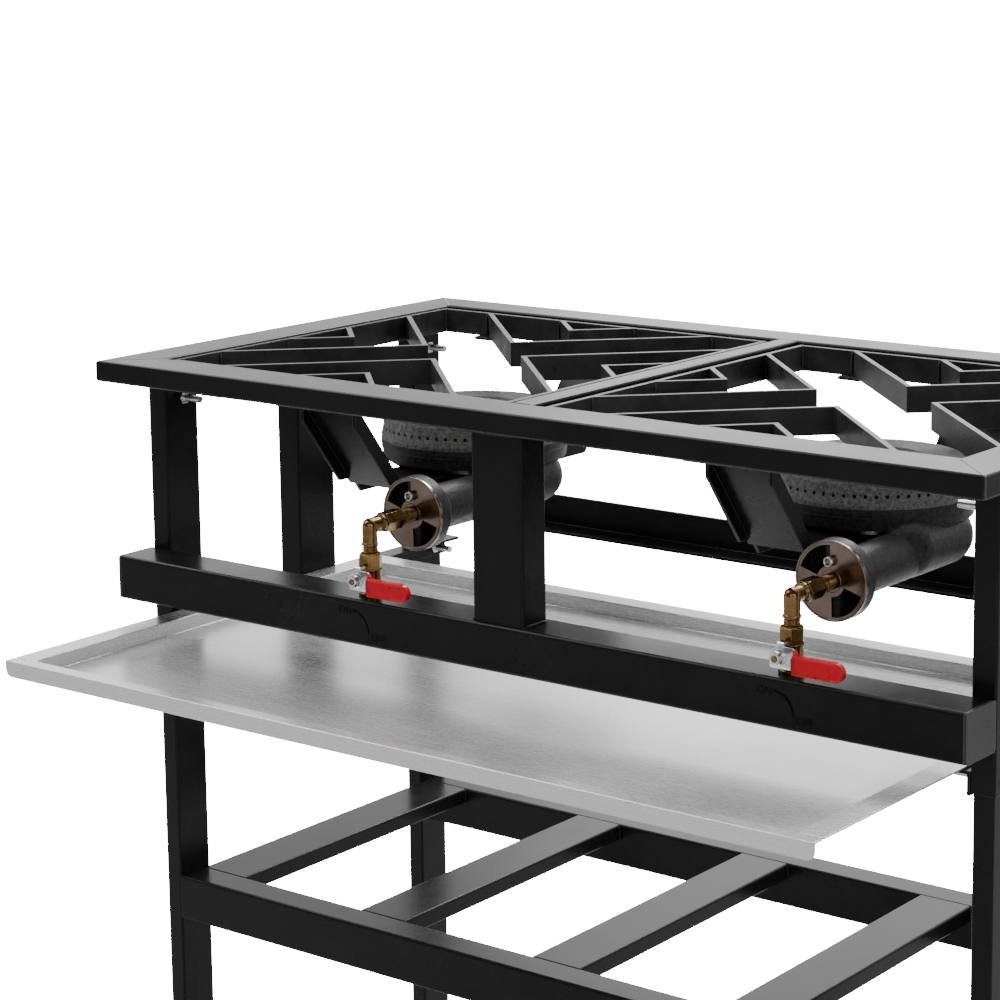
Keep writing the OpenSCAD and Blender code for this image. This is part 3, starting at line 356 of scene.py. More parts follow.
# Words in the nodes' names and their finish; the first match counts, and the last takes all that is left
FINISHES = [
    (("drip_tray",), brushed_tray),
    (("trivet", "end_plates"), worn_coat),
    (("burner_body",), raw_casting),
    (("burner_cap",), cap_casting),
    (("shutter",), bronze_plate),
    (("lever_grip",), red_vinyl),
    (("valve_lever", "lever_nut", "valve_ball", "bolts", "leg_nuts"), zinc_plate),
    (("valve_seats",), seal_plastic),
    (("valve", "gland", "elbow", "injector", "socket"), turned_brass),
    (("feet",), foot_plastic),
    (("",), powder_coat),
]


def dress_nodes():
    """Gives every CAD node its procedural finish."""
    for name, obj in nodes.items():
        material = next(finish for words, finish in FINISHES if any(word in name for word in words))
        if not obj.material_slots:
            obj.data.materials.append(material)
        for slot in obj.material_slots:
            slot.link = "OBJECT"
            slot.material = material


dress_nodes()


# Mesh helpers


def add_piece(name, bm, material, body, smooth=True, corner=None):
    """Makes a shape a piece that rides on a body; a corner in degrees keeps sharper edges sharp."""
    mesh = bpy.data.meshes.new(name)
    bmesh.ops.recalc_face_normals(bm, faces=bm.faces)
    if smooth:
        for face in bm.faces:
            face.smooth = True
    bm.to_mesh(mesh)
    bm.free()
    if corner:
        mesh.set_sharp_from_angle(angle=math.radians(corner))
    obj = bpy.data.objects.new(name, mesh)
    bpy.context.scene.collection.objects.link(obj)
    mesh.materials.append(material)
    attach(obj, body)
    return obj


def bridge(bm, rings, closed=True, whole_turn=False):
    """Quads between neighbouring rings, open or closed; a whole turn also joins the last to the first."""
    pairs = list(zip(rings, rings[1:]))
    if whole_turn:
        pairs.append((rings[-1], rings[0]))
    for a, b in pairs:
        count = len(a)
        for k in range(count if closed else count - 1):
            n = (k + 1) % count
            bm.faces.new((a[k], a[n], b[n], b[k]))


def axes_round(axis):
    """An axis as a unit vector, and two directions across it."""
    axis = Vector(axis).normalized()
    side = axis.orthogonal().normalized()
    return axis, side, axis.cross(side)


def turn_on_lathe(bm, place, axis, profile, segments=56):
    """Closed outline of (radius, distance along the axis) pairs, in millimetres, turned round an axis."""
    axis, side, other = axes_round(axis)
    rings = []
    for i in range(segments):
        angle = 2 * math.pi * i / segments
        out = side * math.cos(angle) + other * math.sin(angle)
        rings.append([bm.verts.new(Vector(place) + axis * (a * MM) + out * (r * MM)) for r, a in profile])
    bridge(bm, rings, whole_turn=True)


def turn_solid(bm, place, axis, profile):
    """Turned solid whose outline runs from one end to the other and closes next to its axis."""
    axis_gap = 0.02
    closed = [(axis_gap, profile[0][1])] + profile + [(axis_gap, profile[-1][1])]
    turn_on_lathe(bm, place, axis, closed)


def rounded_ring(radius, along, bulge, width):
    """Outline of a bulging collar that starts inside a shank of that radius, in millimetres."""
    sunk, steps = radius - 0.4, 6
    points = [(sunk, along), (sunk, along + width)]
    for k in range(steps + 1):
        angle = math.pi * k / steps
        points.append((radius + bulge * math.sin(angle), along + width / 2 + width / 2 * math.cos(angle)))
    return points


def thread_ridges(bm, start, axis, radius, length, pitch, depth):
    """A raised helical thread round a plain shank, in metres; it fades in and out at its ends."""
    axis, side, other = axes_round(axis)
    per_turn, fade_steps = 28, 8
    steps = int(length / pitch * per_turn)
    # Shares of the pitch, and of the depth that the ridge stands out there
    profile = ((-0.42, -0.06), (-0.08, 1.0), (0.08, 1.0), (0.42, -0.06))
    rings = []
    for i in range(steps + 1):
        angle = 2 * math.pi * i / per_turn
        out = side * math.cos(angle) + other * math.sin(angle)
        along = length * i / steps
        fade = min(1.0, i / fade_steps, (steps - i) / fade_steps)
        ring = []
        for share, rise in profile:
            height = radius + depth * (rise * fade if rise > 0 else rise)
            ring.append(bm.verts.new(Vector(start) + axis * (along + share * pitch) + out * height))
        rings.append(ring)
    bridge(bm, rings, closed=False)


def bevelled_slab(bm, outline, x, z, y_front, y_back, bevel):
    """Flat pressing whose outline is in millimetres from X and Z, with softened edges."""
    front, back = [
        [bm.verts.new((x + a * MM, y, z + b * MM)) for a, b in outline] for y in (y_front, y_back)
    ]
    ends = [bm.faces.new(front), bm.faces.new(list(reversed(back)))]
    count = len(outline)
    for k in range(count):
        n = (k + 1) % count
        bm.faces.new((front[k], back[k], back[n], front[n]))
    around = [edge for end in ends for edge in end.edges]
    bmesh.ops.bevel(bm, geom=around, offset=bevel * MM, segments=2, profile=0.5, affect="EDGES")


# Welds


def weld_bead(bm, start, end, face_a, face_b, size, chance):
    """Rippled fillet along a line where two faces meet; face_a and face_b point away from the corner."""
    start, end = Vector(start), Vector(end)
    face_a, face_b = Vector(face_a), Vector(face_b)
    ripple, across, end_size = 0.9 * MM, 6, 0.15
    ripples = max(6, int((end - start).length / ripple))
    rings = []
    for i in range(ripples + 1):
        t = i / ripples
        taper = min(1.0, 6 * t, 6 * (1 - t)) ** 0.5 if 0 < t < 1 else end_size
        swell = size * taper * (0.86 + 0.16 * (i % 3) / 2 + 0.18 * chance.random())
        point = start.lerp(end, t)
        ring = [bm.verts.new(point)]
        for k in range(across + 1):
            angle = math.pi / 2 * k / across
            out = face_a * math.cos(angle) + face_b * math.sin(angle)
            bulge = 0.82 + 0.18 * math.sin(2 * angle)
            ring.append(bm.verts.new(point + out * swell * bulge))
        rings.append(ring)
    bridge(bm, rings)
    bm.faces.new(rings[0])
    bm.faces.new(list(reversed(rings[-1])))


def end_edges(name, bottom, sides):
    """Edges of a node's lower or upper end: start, end, and the two ways that lead off its corner."""
    low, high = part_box(name)
    found = {
        "front": ((low.x, low.y), (high.x, low.y), FRONT),
        "back": ((low.x, high.y), (high.x, high.y), BACK),
        "left": ((low.x, low.y), (low.x, high.y), LEFT),
        "right": ((high.x, low.y), (high.x, high.y), RIGHT),
    }
    z, along = (low.z, UP) if bottom else (high.z, DOWN)
    return [((*found[s][0], z), (*found[s][1], z), found[s][2], along) for s in sides]


def frame_welds():
    """Beads round the leg sleeves and the centre post, where they meet the top frame and the gas rail."""
    chance = random.Random(4)
    bm = bmesh.new()
    bead = 2.6 * MM
    jobs = []
    for row in ("front", "back"):
        for side in SIDES:
            jobs += end_edges(f"{row}_{side}_leg_sleeve", False, ("front", "left", "right", "back"))
    jobs += end_edges("front_centre_post", False, ("front", "left", "right"))
    jobs += end_edges("front_centre_post", True, SIDES)
    for start, end, side, along in jobs:
        weld_bead(bm, start, end, side, along, bead, chance)
    add_piece("frame_welds", bm, powder_coat, "frame")


def support_welds(side, seed):
    """Upright beads where a pan support's flat bars meet."""
    chance = random.Random(seed)
    node = side + "_trivet"
    low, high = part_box(node)
    middle = (low + high) / 2
    half_w, half_d = (high.x - low.x) / 2, (high.y - low.y) / 2
    bar, bead, end_gap = 4.5 * MM, 2.2 * MM, 0.8 * MM
    # Outer chevrons end this far from the support's corners, inner ones this far from its middle
    outer_inset, inner_reach = 52 * MM, 47 * MM
    bm = bmesh.new()

    def upright(x, y, face_a, face_b):
        foot = (middle.x + x, middle.y + y, low.z + end_gap)
        top = (middle.x + x, middle.y + y, high.z - end_gap)
        weld_bead(bm, foot, top, face_a, face_b, bead, chance)

    for sx in (-1, 1):
        for sy in (-1, 1):
            upright(sx * (half_w - bar), sy * (half_d - bar), (-sx, 0, 0), (0, -sy, 0))
    for reach_x, reach_y in ((half_w - outer_inset, half_d - outer_inset), (inner_reach, inner_reach)):
        for s in (-1, 1):
            for t in (-1, 1):
                upright(s * (half_w - bar), t * (reach_x - bar), (-s, 0, 0), (0, t, 0))
                upright(t * (reach_y - bar), s * (half_d - bar), (0, -s, 0), (t, 0, 0))
    add_piece(side + "_support_welds", bm, worn_coat, side + "_pan_support")


def shelf_welds():
    """Short beads at the ends of the shelf's slats and rails."""
    chance = random.Random(12)
    bm = bmesh.new()
    slat_w, slats = 50 * MM, 5
    slat_bead, rail_bead = 2 * MM, 2.2 * MM
    low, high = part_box("shelf_slats")
    reach = (high.x - low.x - slat_w) / 2
    for i in range(slats):
        x = reach * (2 * i / (slats - 1) - 1)
        for y, inward in ((low.y, BACK), (high.y, FRONT)):
            start, end = (x - slat_w / 2, y, low.z), (x + slat_w / 2, y, low.z)
            weld_bead(bm, start, end, inward, DOWN, slat_bead, chance)
            for edge in (-1, 1):
                edge_x = x + edge * slat_w / 2
                start, end = (edge_x, y, low.z), (edge_x, y, high.z - 1.5 * MM)
                weld_bead(bm, start, end, (edge, 0, 0), inward, slat_bead, chance)
    end_gap = 2 * MM
    for name in ("shelf_front_rail", "shelf_back_rail"):
        low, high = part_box(name)
        inner_y, inward = (high.y, BACK) if name == "shelf_front_rail" else (low.y, FRONT)
        for x, outward in ((low.x, RIGHT), (high.x, LEFT)):
            start, end = (x, inner_y, low.z + end_gap), (x, inner_y, high.z - end_gap)
            weld_bead(bm, start, end, outward, inward, rail_bead, chance)
            start, end = (x, low.y + end_gap, low.z), (x, high.y - end_gap, low.z)
            weld_bead(bm, start, end, outward, DOWN, rail_bead, chance)
    add_piece("shelf_welds", bm, powder_coat, "frame")


frame_welds()
for seed, side in enumerate(SIDES, 7):
    support_welds(side, seed)
shelf_welds()


# Fittings of the gas trains; profiles are in millimetres


def middle_of_front(name):
    """Middle of a node's front face."""
    low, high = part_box(name)
    return (low.x + high.x) / 2, low.y, (low.z + high.z) / 2


def gas_train(side):
    """Places on one side's gas train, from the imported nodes."""
    x, shutter_y, z = middle_of_front(side + "_air_shutter")
    return {
        "x": x,
        "z": z,
        "shutter_y": shutter_y,
        "valve_top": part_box(side + "_valve_body")[1].z,
        "screw": middle_of_front(side + "_shutter_screw"),
        "stem": middle_of_front(side + "_valve_stem"),
    }


train = {side: gas_train(side) for side in SIDES}
rail_low, rail_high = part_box("gas_manifold_tube")
valve_y = (rail_low.y + rail_high.y) / 2
rail_top = rail_high.z


def cast_elbows():
    """Elbows with a full round corner, their male threads and the collars next to them."""
    bm = bmesh.new()
    elbow_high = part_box("gas_elbows")[1]
    body_r, thread_r = 6.25, 5.5
    reach = (elbow_high.y - valve_y) / MM
    for at in train.values():
        rise = (at["z"] - at["valve_top"]) / MM
        neck = [
            (thread_r, -4.0), (thread_r, 7.0), (6.9, 7.0), (7.05, 7.4), (7.05, 8.4), (6.7, 9.0),
            (body_r, 9.2), (body_r, rise),
        ]
        turn_solid(bm, (at["x"], valve_y, at["valve_top"]), UP, neck)
        thread_foot = (at["x"], valve_y, at["valve_top"] + 0.7 * MM)
        thread_ridges(bm, thread_foot, UP, thread_r * MM, 6.0 * MM, 1.8 * MM, 1.05 * MM)
        corner = (at["x"], valve_y, at["z"])
        arm = [
            (body_r, 0.0), (body_r, reach - 3.2), (7.0, reach - 3.0), (7.3, reach - 2.6),
            (7.3, reach - 0.4), (6.9, reach),
        ]
        turn_solid(bm, corner, BACK, arm)
        bmesh.ops.create_uvsphere(
            bm, u_segments=48, v_segments=24, radius=body_r * MM, matrix=Matrix.Translation(corner)
        )
    elbows = add_piece("cast_elbows", bm, turned_brass, "frame", corner=35)
    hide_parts("gas_elbows")


def injector_threads():
    """Male thread ahead of each injector, from its coupling to just before the shutter."""
    bm = bmesh.new()
    coupling_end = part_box("injector_couplings")[1].y
    thread_start, gaps = 6.6 * MM, 7.2 * MM
    for at in train.values():
        length = at["shutter_y"] - coupling_end - gaps
        start = (at["x"], coupling_end + thread_start, at["z"])
        thread_ridges(bm, start, BACK, 6.0 * MM, length, 1.2 * MM, 0.45 * MM)
    add_piece("injector_threads", bm, turned_brass, "frame")


def brass_collars():
    """Turned collars on the valves and couplings."""
    valve_collars = [
        rounded_ring(8.9, 20.4, 0.75, 1.9),
        [(8.0, 33.6), (8.0, 34.9), (7.2, 35.3), (6.3, 35.3), (6.3, 33.6)],
        [(8.4, 0.0), (8.9, 0.0), (9.9, 0.5), (9.9, 2.4), (9.0, 3.0), (8.4, 3.0)],
    ]
    for side, at in train.items():
        bm = bmesh.new()
        for profile in valve_collars:
            turn_on_lathe(bm, (at["x"], valve_y, rail_top), UP, profile)
        add_piece(side + "_valve_collars", bm, turned_brass, "frame", corner=35)
    bm = bmesh.new()
    low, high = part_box("injector_couplings")
    for at in train.values():
        for y, profile in (
            (high.y, rounded_ring(6.1, 0.1, 1.5, 2.6)),
            (high.y, rounded_ring(6.1, 3.2, 1.1, 2.4)),
            (low.y, rounded_ring(5.8, -5.2, 1.2, 1.6)),
        ):
            turn_on_lathe(bm, (at["x"], y, at["z"]), BACK, profile)
    add_piece("coupling_collars", bm, turned_brass, "frame")


def shutter_rims():
    """Turned rim and hub ring on each shutter, and the hexagon socket head of each lock screw."""
    rim = [(29.0, 0.1), (29.3, -0.45), (30.0, -0.6), (30.7, -0.45), (30.95, 0.1), (30.95, 0.4), (29.0, 0.4)]
    hub = [(8.1, 0.1), (8.3, -0.3), (8.9, -0.3), (9.1, 0.1), (9.1, 0.3), (8.1, 0.3)]
    head = [(2.5, 0.05), (2.5, -1.5), (2.9, -1.9), (3.5, -1.9), (3.95, -1.4), (3.95, 0.05)]
    for side, at in train.items():
        body = side + "_shutter"
        place = (at["x"], at["shutter_y"], at["z"])
        bm = bmesh.new()
        turn_on_lathe(bm, place, BACK, rim, segments=96)
        turn_on_lathe(bm, place, BACK, hub, segments=64)
        add_piece(side + "_shutter_rim", bm, bronze_plate, body, corner=35)
        bm = bmesh.new()
        turn_on_lathe(bm, at["screw"], BACK, head, segments=40)
        add_piece(side + "_screw_socket", bm, zinc_plate, body, corner=35)


def leg_bolt_threads():
    """Threads on the free ends of the leg bolts."""
    bm = bmesh.new()
    low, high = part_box("leg_bolts")
    sleeve_low, sleeve_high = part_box("front_right_leg_sleeve")
    sleeve_y = (sleeve_low.y + sleeve_high.y) / 2
    head_half = 5.774 * MM
    # Height of each row of bolts, and how far in from the sleeve's outer side its threads start
    rows = ((high.z - head_half, 25.0 * MM), (low.z + head_half, 27.5 * MM))
    for sx in (-1, 1):
        for sy in (-1, 1):
            for z, inset in rows:
                start = (sx * (sleeve_high.x - inset), sy * sleeve_y, z)
                thread_ridges(bm, start, (-sx, 0, 0), 2.95 * MM, 17.0 * MM, 1.0 * MM, 0.2 * MM)
    add_piece("leg_bolt_threads", bm, zinc_plate, "frame")


def washer_and_nut(side, x, plate_front, z):
    """Flange washer and chamfered nut that hold the lever."""
    bm = bmesh.new()
    washer = [(2.55, 0.02), (2.55, -1.2), (4.6, -1.2), (6.1, -0.5), (6.2, 0.02)]
    turn_on_lathe(bm, (x, plate_front, z), BACK, washer, segments=40)
    chamfered_nut(bm, (x, plate_front - 1.1 * MM, z), 8.6, 5.2, 2.55)
    nut = add_piece(
        side + "_washer_and_nut", bm, zinc_plate, side + "_lever", corner=20
    )
    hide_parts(side + "_lever_nut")


def chamfered_nut(bm, place, flats, height, bore):
    """Hexagon nut that faces the front, its free corners cut back; sizes in millimetres."""
    steps = 36
    chamfer, corner_cut, face_inset = 0.7, 0.25, 0.1
    corner = flats / math.sqrt(3)

    def hexagon(angle, cut):
        fold = (angle % (math.pi / 3)) - math.pi / 6
        radius = flats / 2 / math.cos(fold)
        return radius - (cut if radius > corner * 0.97 else 0.0)

    outline = (
        (lambda angle: bore, 0.0),
        (lambda angle: hexagon(angle, 0.0), 0.0),
        (lambda angle: hexagon(angle, corner_cut), height - chamfer),
        (lambda angle: flats / 2 - face_inset, height),
        (lambda angle: bore, height),
    )
    rings = []
    for radius_at, along in outline:
        ring = []
        for i in range(steps):
            angle = 2 * math.pi * i / steps
            radius = radius_at(angle)
            spot = Vector((radius * math.cos(angle), -along, radius * math.sin(angle)))
            ring.append(bm.verts.new(Vector(place) + spot * MM))
        rings.append(ring)
    bridge(bm, rings, whole_turn=True)


def turned_stem(side, x, plate_front, z):
    """Stem that ends just proud of its nut with a chamfer, and its tang in the ball's slot."""
    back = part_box(side + "_valve_stem")[1].y
    tang_w, tang_l, tang_h = 4 * MM, 4.4 * MM, 2 * MM
    tail = (back - plate_front - tang_l / 2) / MM
    bm = bmesh.new()
    turn_solid(bm, (x, plate_front, z), FRONT, [(2.5, -tail), (2.5, 6.7), (2.1, 7.3)])
    tang_size = Matrix.Diagonal((tang_w, tang_l, tang_h, 1))
    tang = Matrix.Translation((x, back - tang_l / 2, z)) @ tang_size
    bmesh.ops.create_cube(bm, size=1.0, matrix=tang)
    stem = add_piece(
        side + "_turned_stem", bm, turned_brass, side + "_lever", corner=35
    )
    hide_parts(side + "_valve_stem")


def quarter_arc(centre_x, centre_z, radius, start_degrees, steps):
    """Quarter of a circle, clockwise from an angle."""
    angles = [math.radians(start_degrees - 90 * k / steps) for k in range(steps + 1)]
    return [(centre_x + radius * math.cos(a), centre_z + radius * math.sin(a)) for a in angles]


def lever_plate(side, x, plate_front, z):
    """Pressed lever: its arched hub plate, the step, and the blade inside the grip."""
    plate_t, blade_front, step_back, blade_t = 2 * MM, 3.4 * MM, 1.8 * MM, 2 * MM
    hub = quarter_arc(1.0, -1.0, 9.5, 180, 10) + quarter_arc(10.0, 5.0, 3.5, 90, 6)
    hub += [(13.5, -8.5), (-7.6, -8.5), (-8.5, -7.6)]
    step = [(11.8, -7.5), (14.0, -7.5), (14.0, 1.5), (11.8, 1.5)]
    blade = [(12.0, -7.5), (53.0, -7.5), (53.0, 1.5), (12.0, 1.5)]
    front = plate_front - blade_front
    bm = bmesh.new()
    bevelled_slab(bm, hub, x, z, plate_front, plate_front + plate_t, 0.45)
    bevelled_slab(bm, step, x, z, front, plate_front + step_back, 0.3)
    bevelled_slab(bm, blade, x, z, front, front + blade_t, 0.3)
    plate = add_piece(
        side + "_lever_plate", bm, zinc_plate, side + "_lever", corner=35
    )
    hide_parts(side + "_valve_lever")


def stop_lug(side, x, plate_front, z):
    """Small lug that a lever's hub plate folds back over the valve, as its stop."""
    outline = [(0, 0), (0, 2.4), (0.8, 3.2), (6.4, 3.2), (6.4, 1.4), (2.0, 1.4), (2.0, 0)]
    middle_x, half_w, foot = x + 1.0 * MM, 2.8 * MM, z + 8.2 * MM
    bm = bmesh.new()
    ends = []
    for end_x in (middle_x - half_w, middle_x + half_w):
        ends.append([bm.verts.new((end_x, plate_front + a * MM, foot + b * MM)) for a, b in outline])
    bm.faces.new(ends[0])
    bm.faces.new(list(reversed(ends[1])))
    bridge(bm, ends)
    add_piece(side + "_stop_lug", bm, zinc_plate, side + "_lever", corner=35)


def grip_rim(side):
    """Raised vinyl rim round the front of a grip, and the moulded shoulder at its inner end."""
    low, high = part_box(side + "_lever_grip")
    tube_r, inset, sunk = 1.0 * MM, 1.0 * MM, 0.35 * MM
    end_steps, tube_steps = 18, 8
    radius, middle = (high.z - low.z) / 2, (low.z + high.z) / 2
    centre_x, path_r = high.x - radius, radius - inset
    path = [(low.x + inset, low.z + inset), (low.x + inset, high.z - inset)]
    for k in range(end_steps + 1):
        angle = math.pi / 2 - math.pi * k / end_steps
        path.append((centre_x + path_r * math.cos(angle), middle + path_r * math.sin(angle)))
    bm = bmesh.new()
    rings = []
    for i, (x, z) in enumerate(path):
        ahead, behind = path[(i + 1) % len(path)], path[i - 1]
        run = Vector((ahead[0] - behind[0], 0, ahead[1] - behind[1])).normalized()
        out = Vector((run.z, 0, -run.x))
        spot = Vector((x, low.y + sunk, z))
        ring = []
        for k in range(tube_steps):
            angle = 2 * math.pi * k / tube_steps
            lift = Vector((0, tube_r * math.sin(angle), 0))
            ring.append(bm.verts.new(spot + out * tube_r * math.cos(angle) + lift))
        rings.append(ring)
    bridge(bm, rings, whole_turn=True)
    shoulder = [(0.3, 0.0), (4.6, 0.0), (2.6, 1.3), (1.6, 3.4), (0.3, 3.9)]
    bevelled_slab(bm, shoulder, low.x, high.z - 0.6 * MM, low.y + 0.7 * MM, high.y + 0.5 * MM, 0.4)
    add_piece(side + "_grip_rim", bm, red_vinyl, side + "_lever")


def lever_details():
    """Nut, stem, plate, stop lug and grip rim of each lever."""
    for side, at in train.items():
        x, z = at["stem"][0], at["stem"][2]
        plate_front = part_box(side + "_lever_nut")[1].y
        for build in (washer_and_nut, turned_stem, lever_plate, stop_lug):
            build(side, x, plate_front, z)
        grip_rim(side)


def casting_seams():
    """Thin parting line that the moulds left along each mixing tube and ring."""
    chance = random.Random(21)
    tube_r, throat_y, flange_l = 19.0 * MM, -44.0 * MM, 30.0 * MM
    sunk, half_h, steps = 0.3 * MM, 0.9 * MM, 60
    ring_seam, seam_drop = [(81.2, 0.0), (81.9, 0.7), (81.9, 1.3), (81.2, 2.0)], 7.5 * MM
    for side, at in train.items():
        bm = bmesh.new()
        body_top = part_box(side + "_burner_body")[1].z
        start_y = at["shutter_y"] + flange_l
        for s in (-1, 1):
            edge = at["x"] + s * tube_r
            rows = []
            for i in range(steps + 1):
                y = start_y + (throat_y - start_y) * i / steps
                rise = (0.35 + 0.3 * chance.random()) * MM
                rows.append([
                    bm.verts.new((edge - s * sunk, y, at["z"] + half_h)),
                    bm.verts.new((edge + s * rise, y, at["z"])),
                    bm.verts.new((edge - s * sunk, y, at["z"] - half_h)),
                ])
            bridge(bm, rows, closed=False)
        cap_low, cap_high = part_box(side + "_burner_cap")
        ring_place = ((cap_low.x + cap_high.x) / 2, 0, body_top - seam_drop)
        turn_on_lathe(bm, ring_place, UP, ring_seam, segments=120)
        add_piece(side + "_casting_seam", bm, raw_casting, "frame")


cast_elbows()
injector_threads()
brass_collars()
shutter_rims()
leg_bolt_threads()
lever_details()
casting_seams()


# Marks on the gas rail


def turn_arrow(at_x):
    """Double-headed quarter arc that shows a lever's travel."""
    bm = bmesh.new()
    face_y = rail_low.y
    middle = Vector((at_x - 2.0 * MM, 0, rail_top - 26.0 * MM))
    radius, steps = 16.5 * MM, 20
    top_degrees, foot_degrees = 80, 10
    head_half_w, head_l = 1.6 * MM, 4.2 * MM
    inner, outer = [], []
    for i in range(steps + 1):
        angle = math.radians(top_degrees - (top_degrees - foot_degrees) * i / steps)
        half = (0.60 + 0.35 * math.sin(math.pi * i / steps)) * MM
        out = Vector((math.cos(angle), 0, math.sin(angle)))
        for store, r in ((inner, radius - half), (outer, radius + half)):
            spot = middle + out * r
            store.append(bm.verts.new((spot.x, face_y, spot.z)))
    bridge(bm, [inner, outer], closed=False)
    for degrees, turn in ((top_degrees, 1), (foot_degrees, -1)):
        angle = math.radians(degrees)
        out = Vector((math.cos(angle), 0, math.sin(angle)))
        ahead = Vector((-out.z, 0, out.x)) * turn
        base = middle + out * radius
        corners = [base + out * head_half_w, base - out * head_half_w, base + ahead * head_l]
        bm.faces.new([bm.verts.new((c.x, face_y, c.z)) for c in corners])
    return bm


def rail_words(word, x, z, height):
    """Plain switch lettering on the rail's front."""
    curve = bpy.data.curves.new("rail_word", "FONT")
    curve.body = word
    curve.size = height
    curve.resolution_u = 4
    holder = bpy.data.objects.new("rail_word", curve)
    bpy.context.scene.collection.objects.link(holder)
    bpy.context.view_layer.update()
    mesh = bpy.data.meshes.new_from_object(holder.evaluated_get(bpy.context.evaluated_depsgraph_get()))
    bpy.data.objects.remove(holder)
    bm = bmesh.new()
    bm.from_mesh(mesh)
    bpy.data.meshes.remove(mesh)
    bpy.data.curves.remove(curve)
    for v in bm.verts:
        v.co = (x + v.co.x, rail_low.y, z + v.co.y)
    return bm


def rail_marks():
    """Arrow with ON and OFF beside each lever, in ink that stands a hair proud of the rail."""
    ink_t, letter_h = 0.12 * MM, 8.5 * MM
    for side, at in train.items():
        marks = {
            "arrow": turn_arrow(at["x"]),
            "on": rail_words("ON", at["x"] - 17.0 * MM, rail_top - 13.0 * MM, letter_h),
            "off": rail_words("OFF", at["x"] + 17.5 * MM, rail_top - 31.5 * MM, letter_h),
        }
        for word, bm in marks.items():
            made = bmesh.ops.extrude_face_region(bm, geom=list(bm.faces))
            raised = [v for v in made["geom"] if isinstance(v, bmesh.types.BMVert)]
            bmesh.ops.translate(bm, verts=raised, vec=(0, -ink_t, 0))
            add_piece(f"{side}_rail_mark_{word}", bm, mark_ink, "frame", smooth=False)


rail_marks()


# Stage, light and camera

view_azimuth = 0.6447
view_elevation = 0.1699
view_roll = -0.0088
view_focal_px = 2816.4
view_width_px = 1000
view_centre_px = (580, 380)
camera_place = Vector((1.3310, -1.8855, 1.1776))


def make_camera():
    """Camera at the photo's place, turned and shifted as the photo was."""
    data = bpy.data.cameras.new("photo_camera")
    cam = bpy.data.objects.new("photo_camera", data)
    bpy.context.scene.collection.objects.link(cam)
    ca, sa = math.cos(view_azimuth), math.sin(view_azimuth)
    ce, se = math.cos(view_elevation), math.sin(view_elevation)
    cr, sr = math.cos(view_roll), math.sin(view_roll)
    forward = Vector((-sa * ce, ca * ce, -se))
    right = Vector((ca, sa, 0))
    up = right.cross(forward)
    right, up = right * cr + up * sr, up * cr - right * sr
    turn = Matrix((right, up, -forward)).transposed().to_4x4()
    cam.matrix_world = Matrix.Translation(camera_place) @ turn
    data.sensor_width = 36.0
    data.lens = view_focal_px / view_width_px * data.sensor_width
    data.shift_x = (view_width_px / 2 - view_centre_px[0]) / view_width_px
    data.shift_y = (view_centre_px[1] - view_width_px / 2) / view_width_px
    data.clip_start, data.clip_end = 0.05, 60.0
    bpy.context.scene.camera = cam


def light_paths(tree):
    """Outputs that tell which kind of ray sees a surface."""
    return add_node(tree, "ShaderNodeLightPath").outputs


def make_floor():
    """Pale round floor that the camera sees as white."""
    seen, radius, drop = 24.0, 40.0, 0.5 * MM
    bm = bmesh.new()
    bmesh.ops.create_circle(bm, cap_ends=True, radius=radius, segments=96)
    mesh = bpy.data.meshes.new("floor")
    bm.to_mesh(mesh)
    bm.free()
    floor = bpy.data.objects.new("floor", mesh)
    floor.location.z = -drop
    bpy.context.scene.collection.objects.link(floor)
    made = bpy.data.materials.new("pale_floor")
    made.use_nodes = True
    tree = made.node_tree
    shader = tree.nodes["Principled BSDF"]
    shader.inputs["Base Color"].default_value = (0.50, 0.50, 0.50, 1.0)
    shader.inputs["Roughness"].default_value = 0.9
    shader.inputs["Specular IOR Level"].default_value = 0.0
    shader.inputs["Emission Strength"].default_value = 1.0
    glow = mix(tree, "RGBA", light_paths(tree)["Is Camera Ray"], (0.0, 0.0, 0.0), (seen, seen, seen))
    feed(tree, glow, shader.inputs["Emission Color"])
    mesh.materials.append(made)


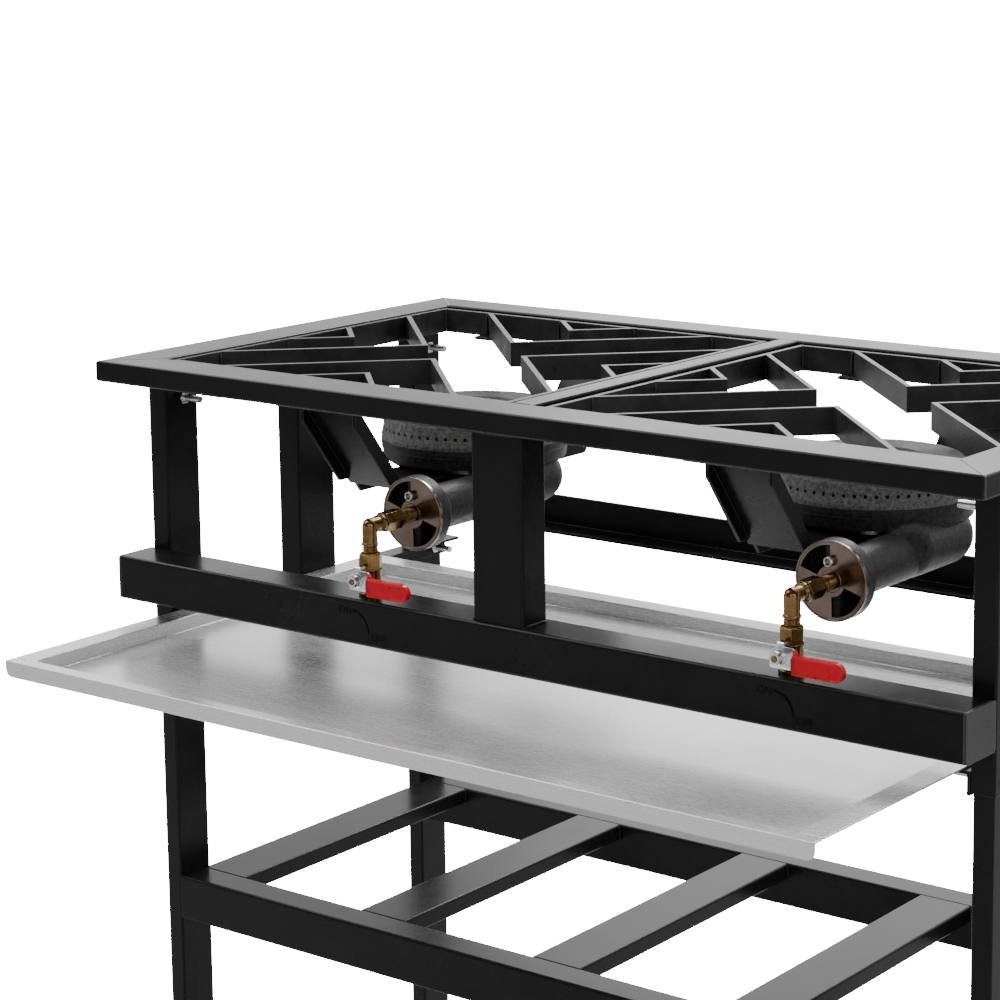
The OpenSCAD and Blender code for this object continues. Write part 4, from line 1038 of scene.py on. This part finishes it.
def make_world():
    """Soft room light, brighter behind the stand than in front; first reflections show a pale ceiling."""
    seen, dim, bright, ceiling_glow = 26.0, 0.14, 1.5, 6.5
    bright_side = (-0.55, 0.80, 0.25)
    world = bpy.data.worlds.new("studio")
    bpy.context.scene.world = world
    world.use_nodes = True
    tree = world.node_tree
    sky = coordinates(tree, "Generated")
    path = light_paths(tree)
    felt = remap(tree, dot(tree, sky, bright_side), -0.35, 0.75, dim, bright, smooth=True)
    ceiling = remap(tree, parts_of(tree, sky)["Z"], 0.45, 0.75, high=ceiling_glow, smooth=True)
    first_ray = calc(tree, "LESS_THAN", path["Ray Depth"], 1.5)
    mirrored = calc(tree, "MULTIPLY", path["Is Glossy Ray"], first_ray)
    lit = calc(tree, "MULTIPLY_ADD", ceiling, mirrored, felt)
    background = tree.nodes["Background"].inputs
    background["Color"].default_value = (1.0, 1.0, 1.0, 1.0)
    feed(tree, mix(tree, "FLOAT", path["Is Camera Ray"], lit, seen), background["Strength"])


def add_softbox(name, place, aim, size, power):
    """Rectangular lamp at a place, turned towards another."""
    data = bpy.data.lights.new(name, "AREA")
    data.shape = "RECTANGLE"
    data.size, data.size_y = size
    data.energy = power
    lamp = bpy.data.objects.new(name, data)
    lamp.location = place
    lamp.rotation_mode = "QUATERNION"
    lamp.rotation_quaternion = (Vector(aim) - Vector(place)).to_track_quat("-Z", "Y")
    bpy.context.scene.collection.objects.link(lamp)


make_camera()
make_floor()
make_world()
burners = (0.0, 0.0, 0.6)
add_softbox("overhead_softbox", (0.0, 0.6, 3.2), burners, (3.0, 2.4), 34.0)
add_softbox("key_softbox", (-0.5, 2.3, 2.9), burners, (1.3, 0.8), 72.0)
add_softbox("back_softbox", (-0.6, 3.4, 1.8), burners, (4.0, 2.2), 36.0)
add_softbox("right_softbox", (3.2, -1.2, 1.6), burners, (1.6, 1.8), 18.0)
add_softbox("front_softbox", (1.7, -3.1, 1.7), burners, (2.6, 2.0), 16.0)
add_softbox("left_top_softbox", (-1.7, -0.5, 2.7), (-0.3, -0.1, 0.6), (2.6, 1.1), 40.0)
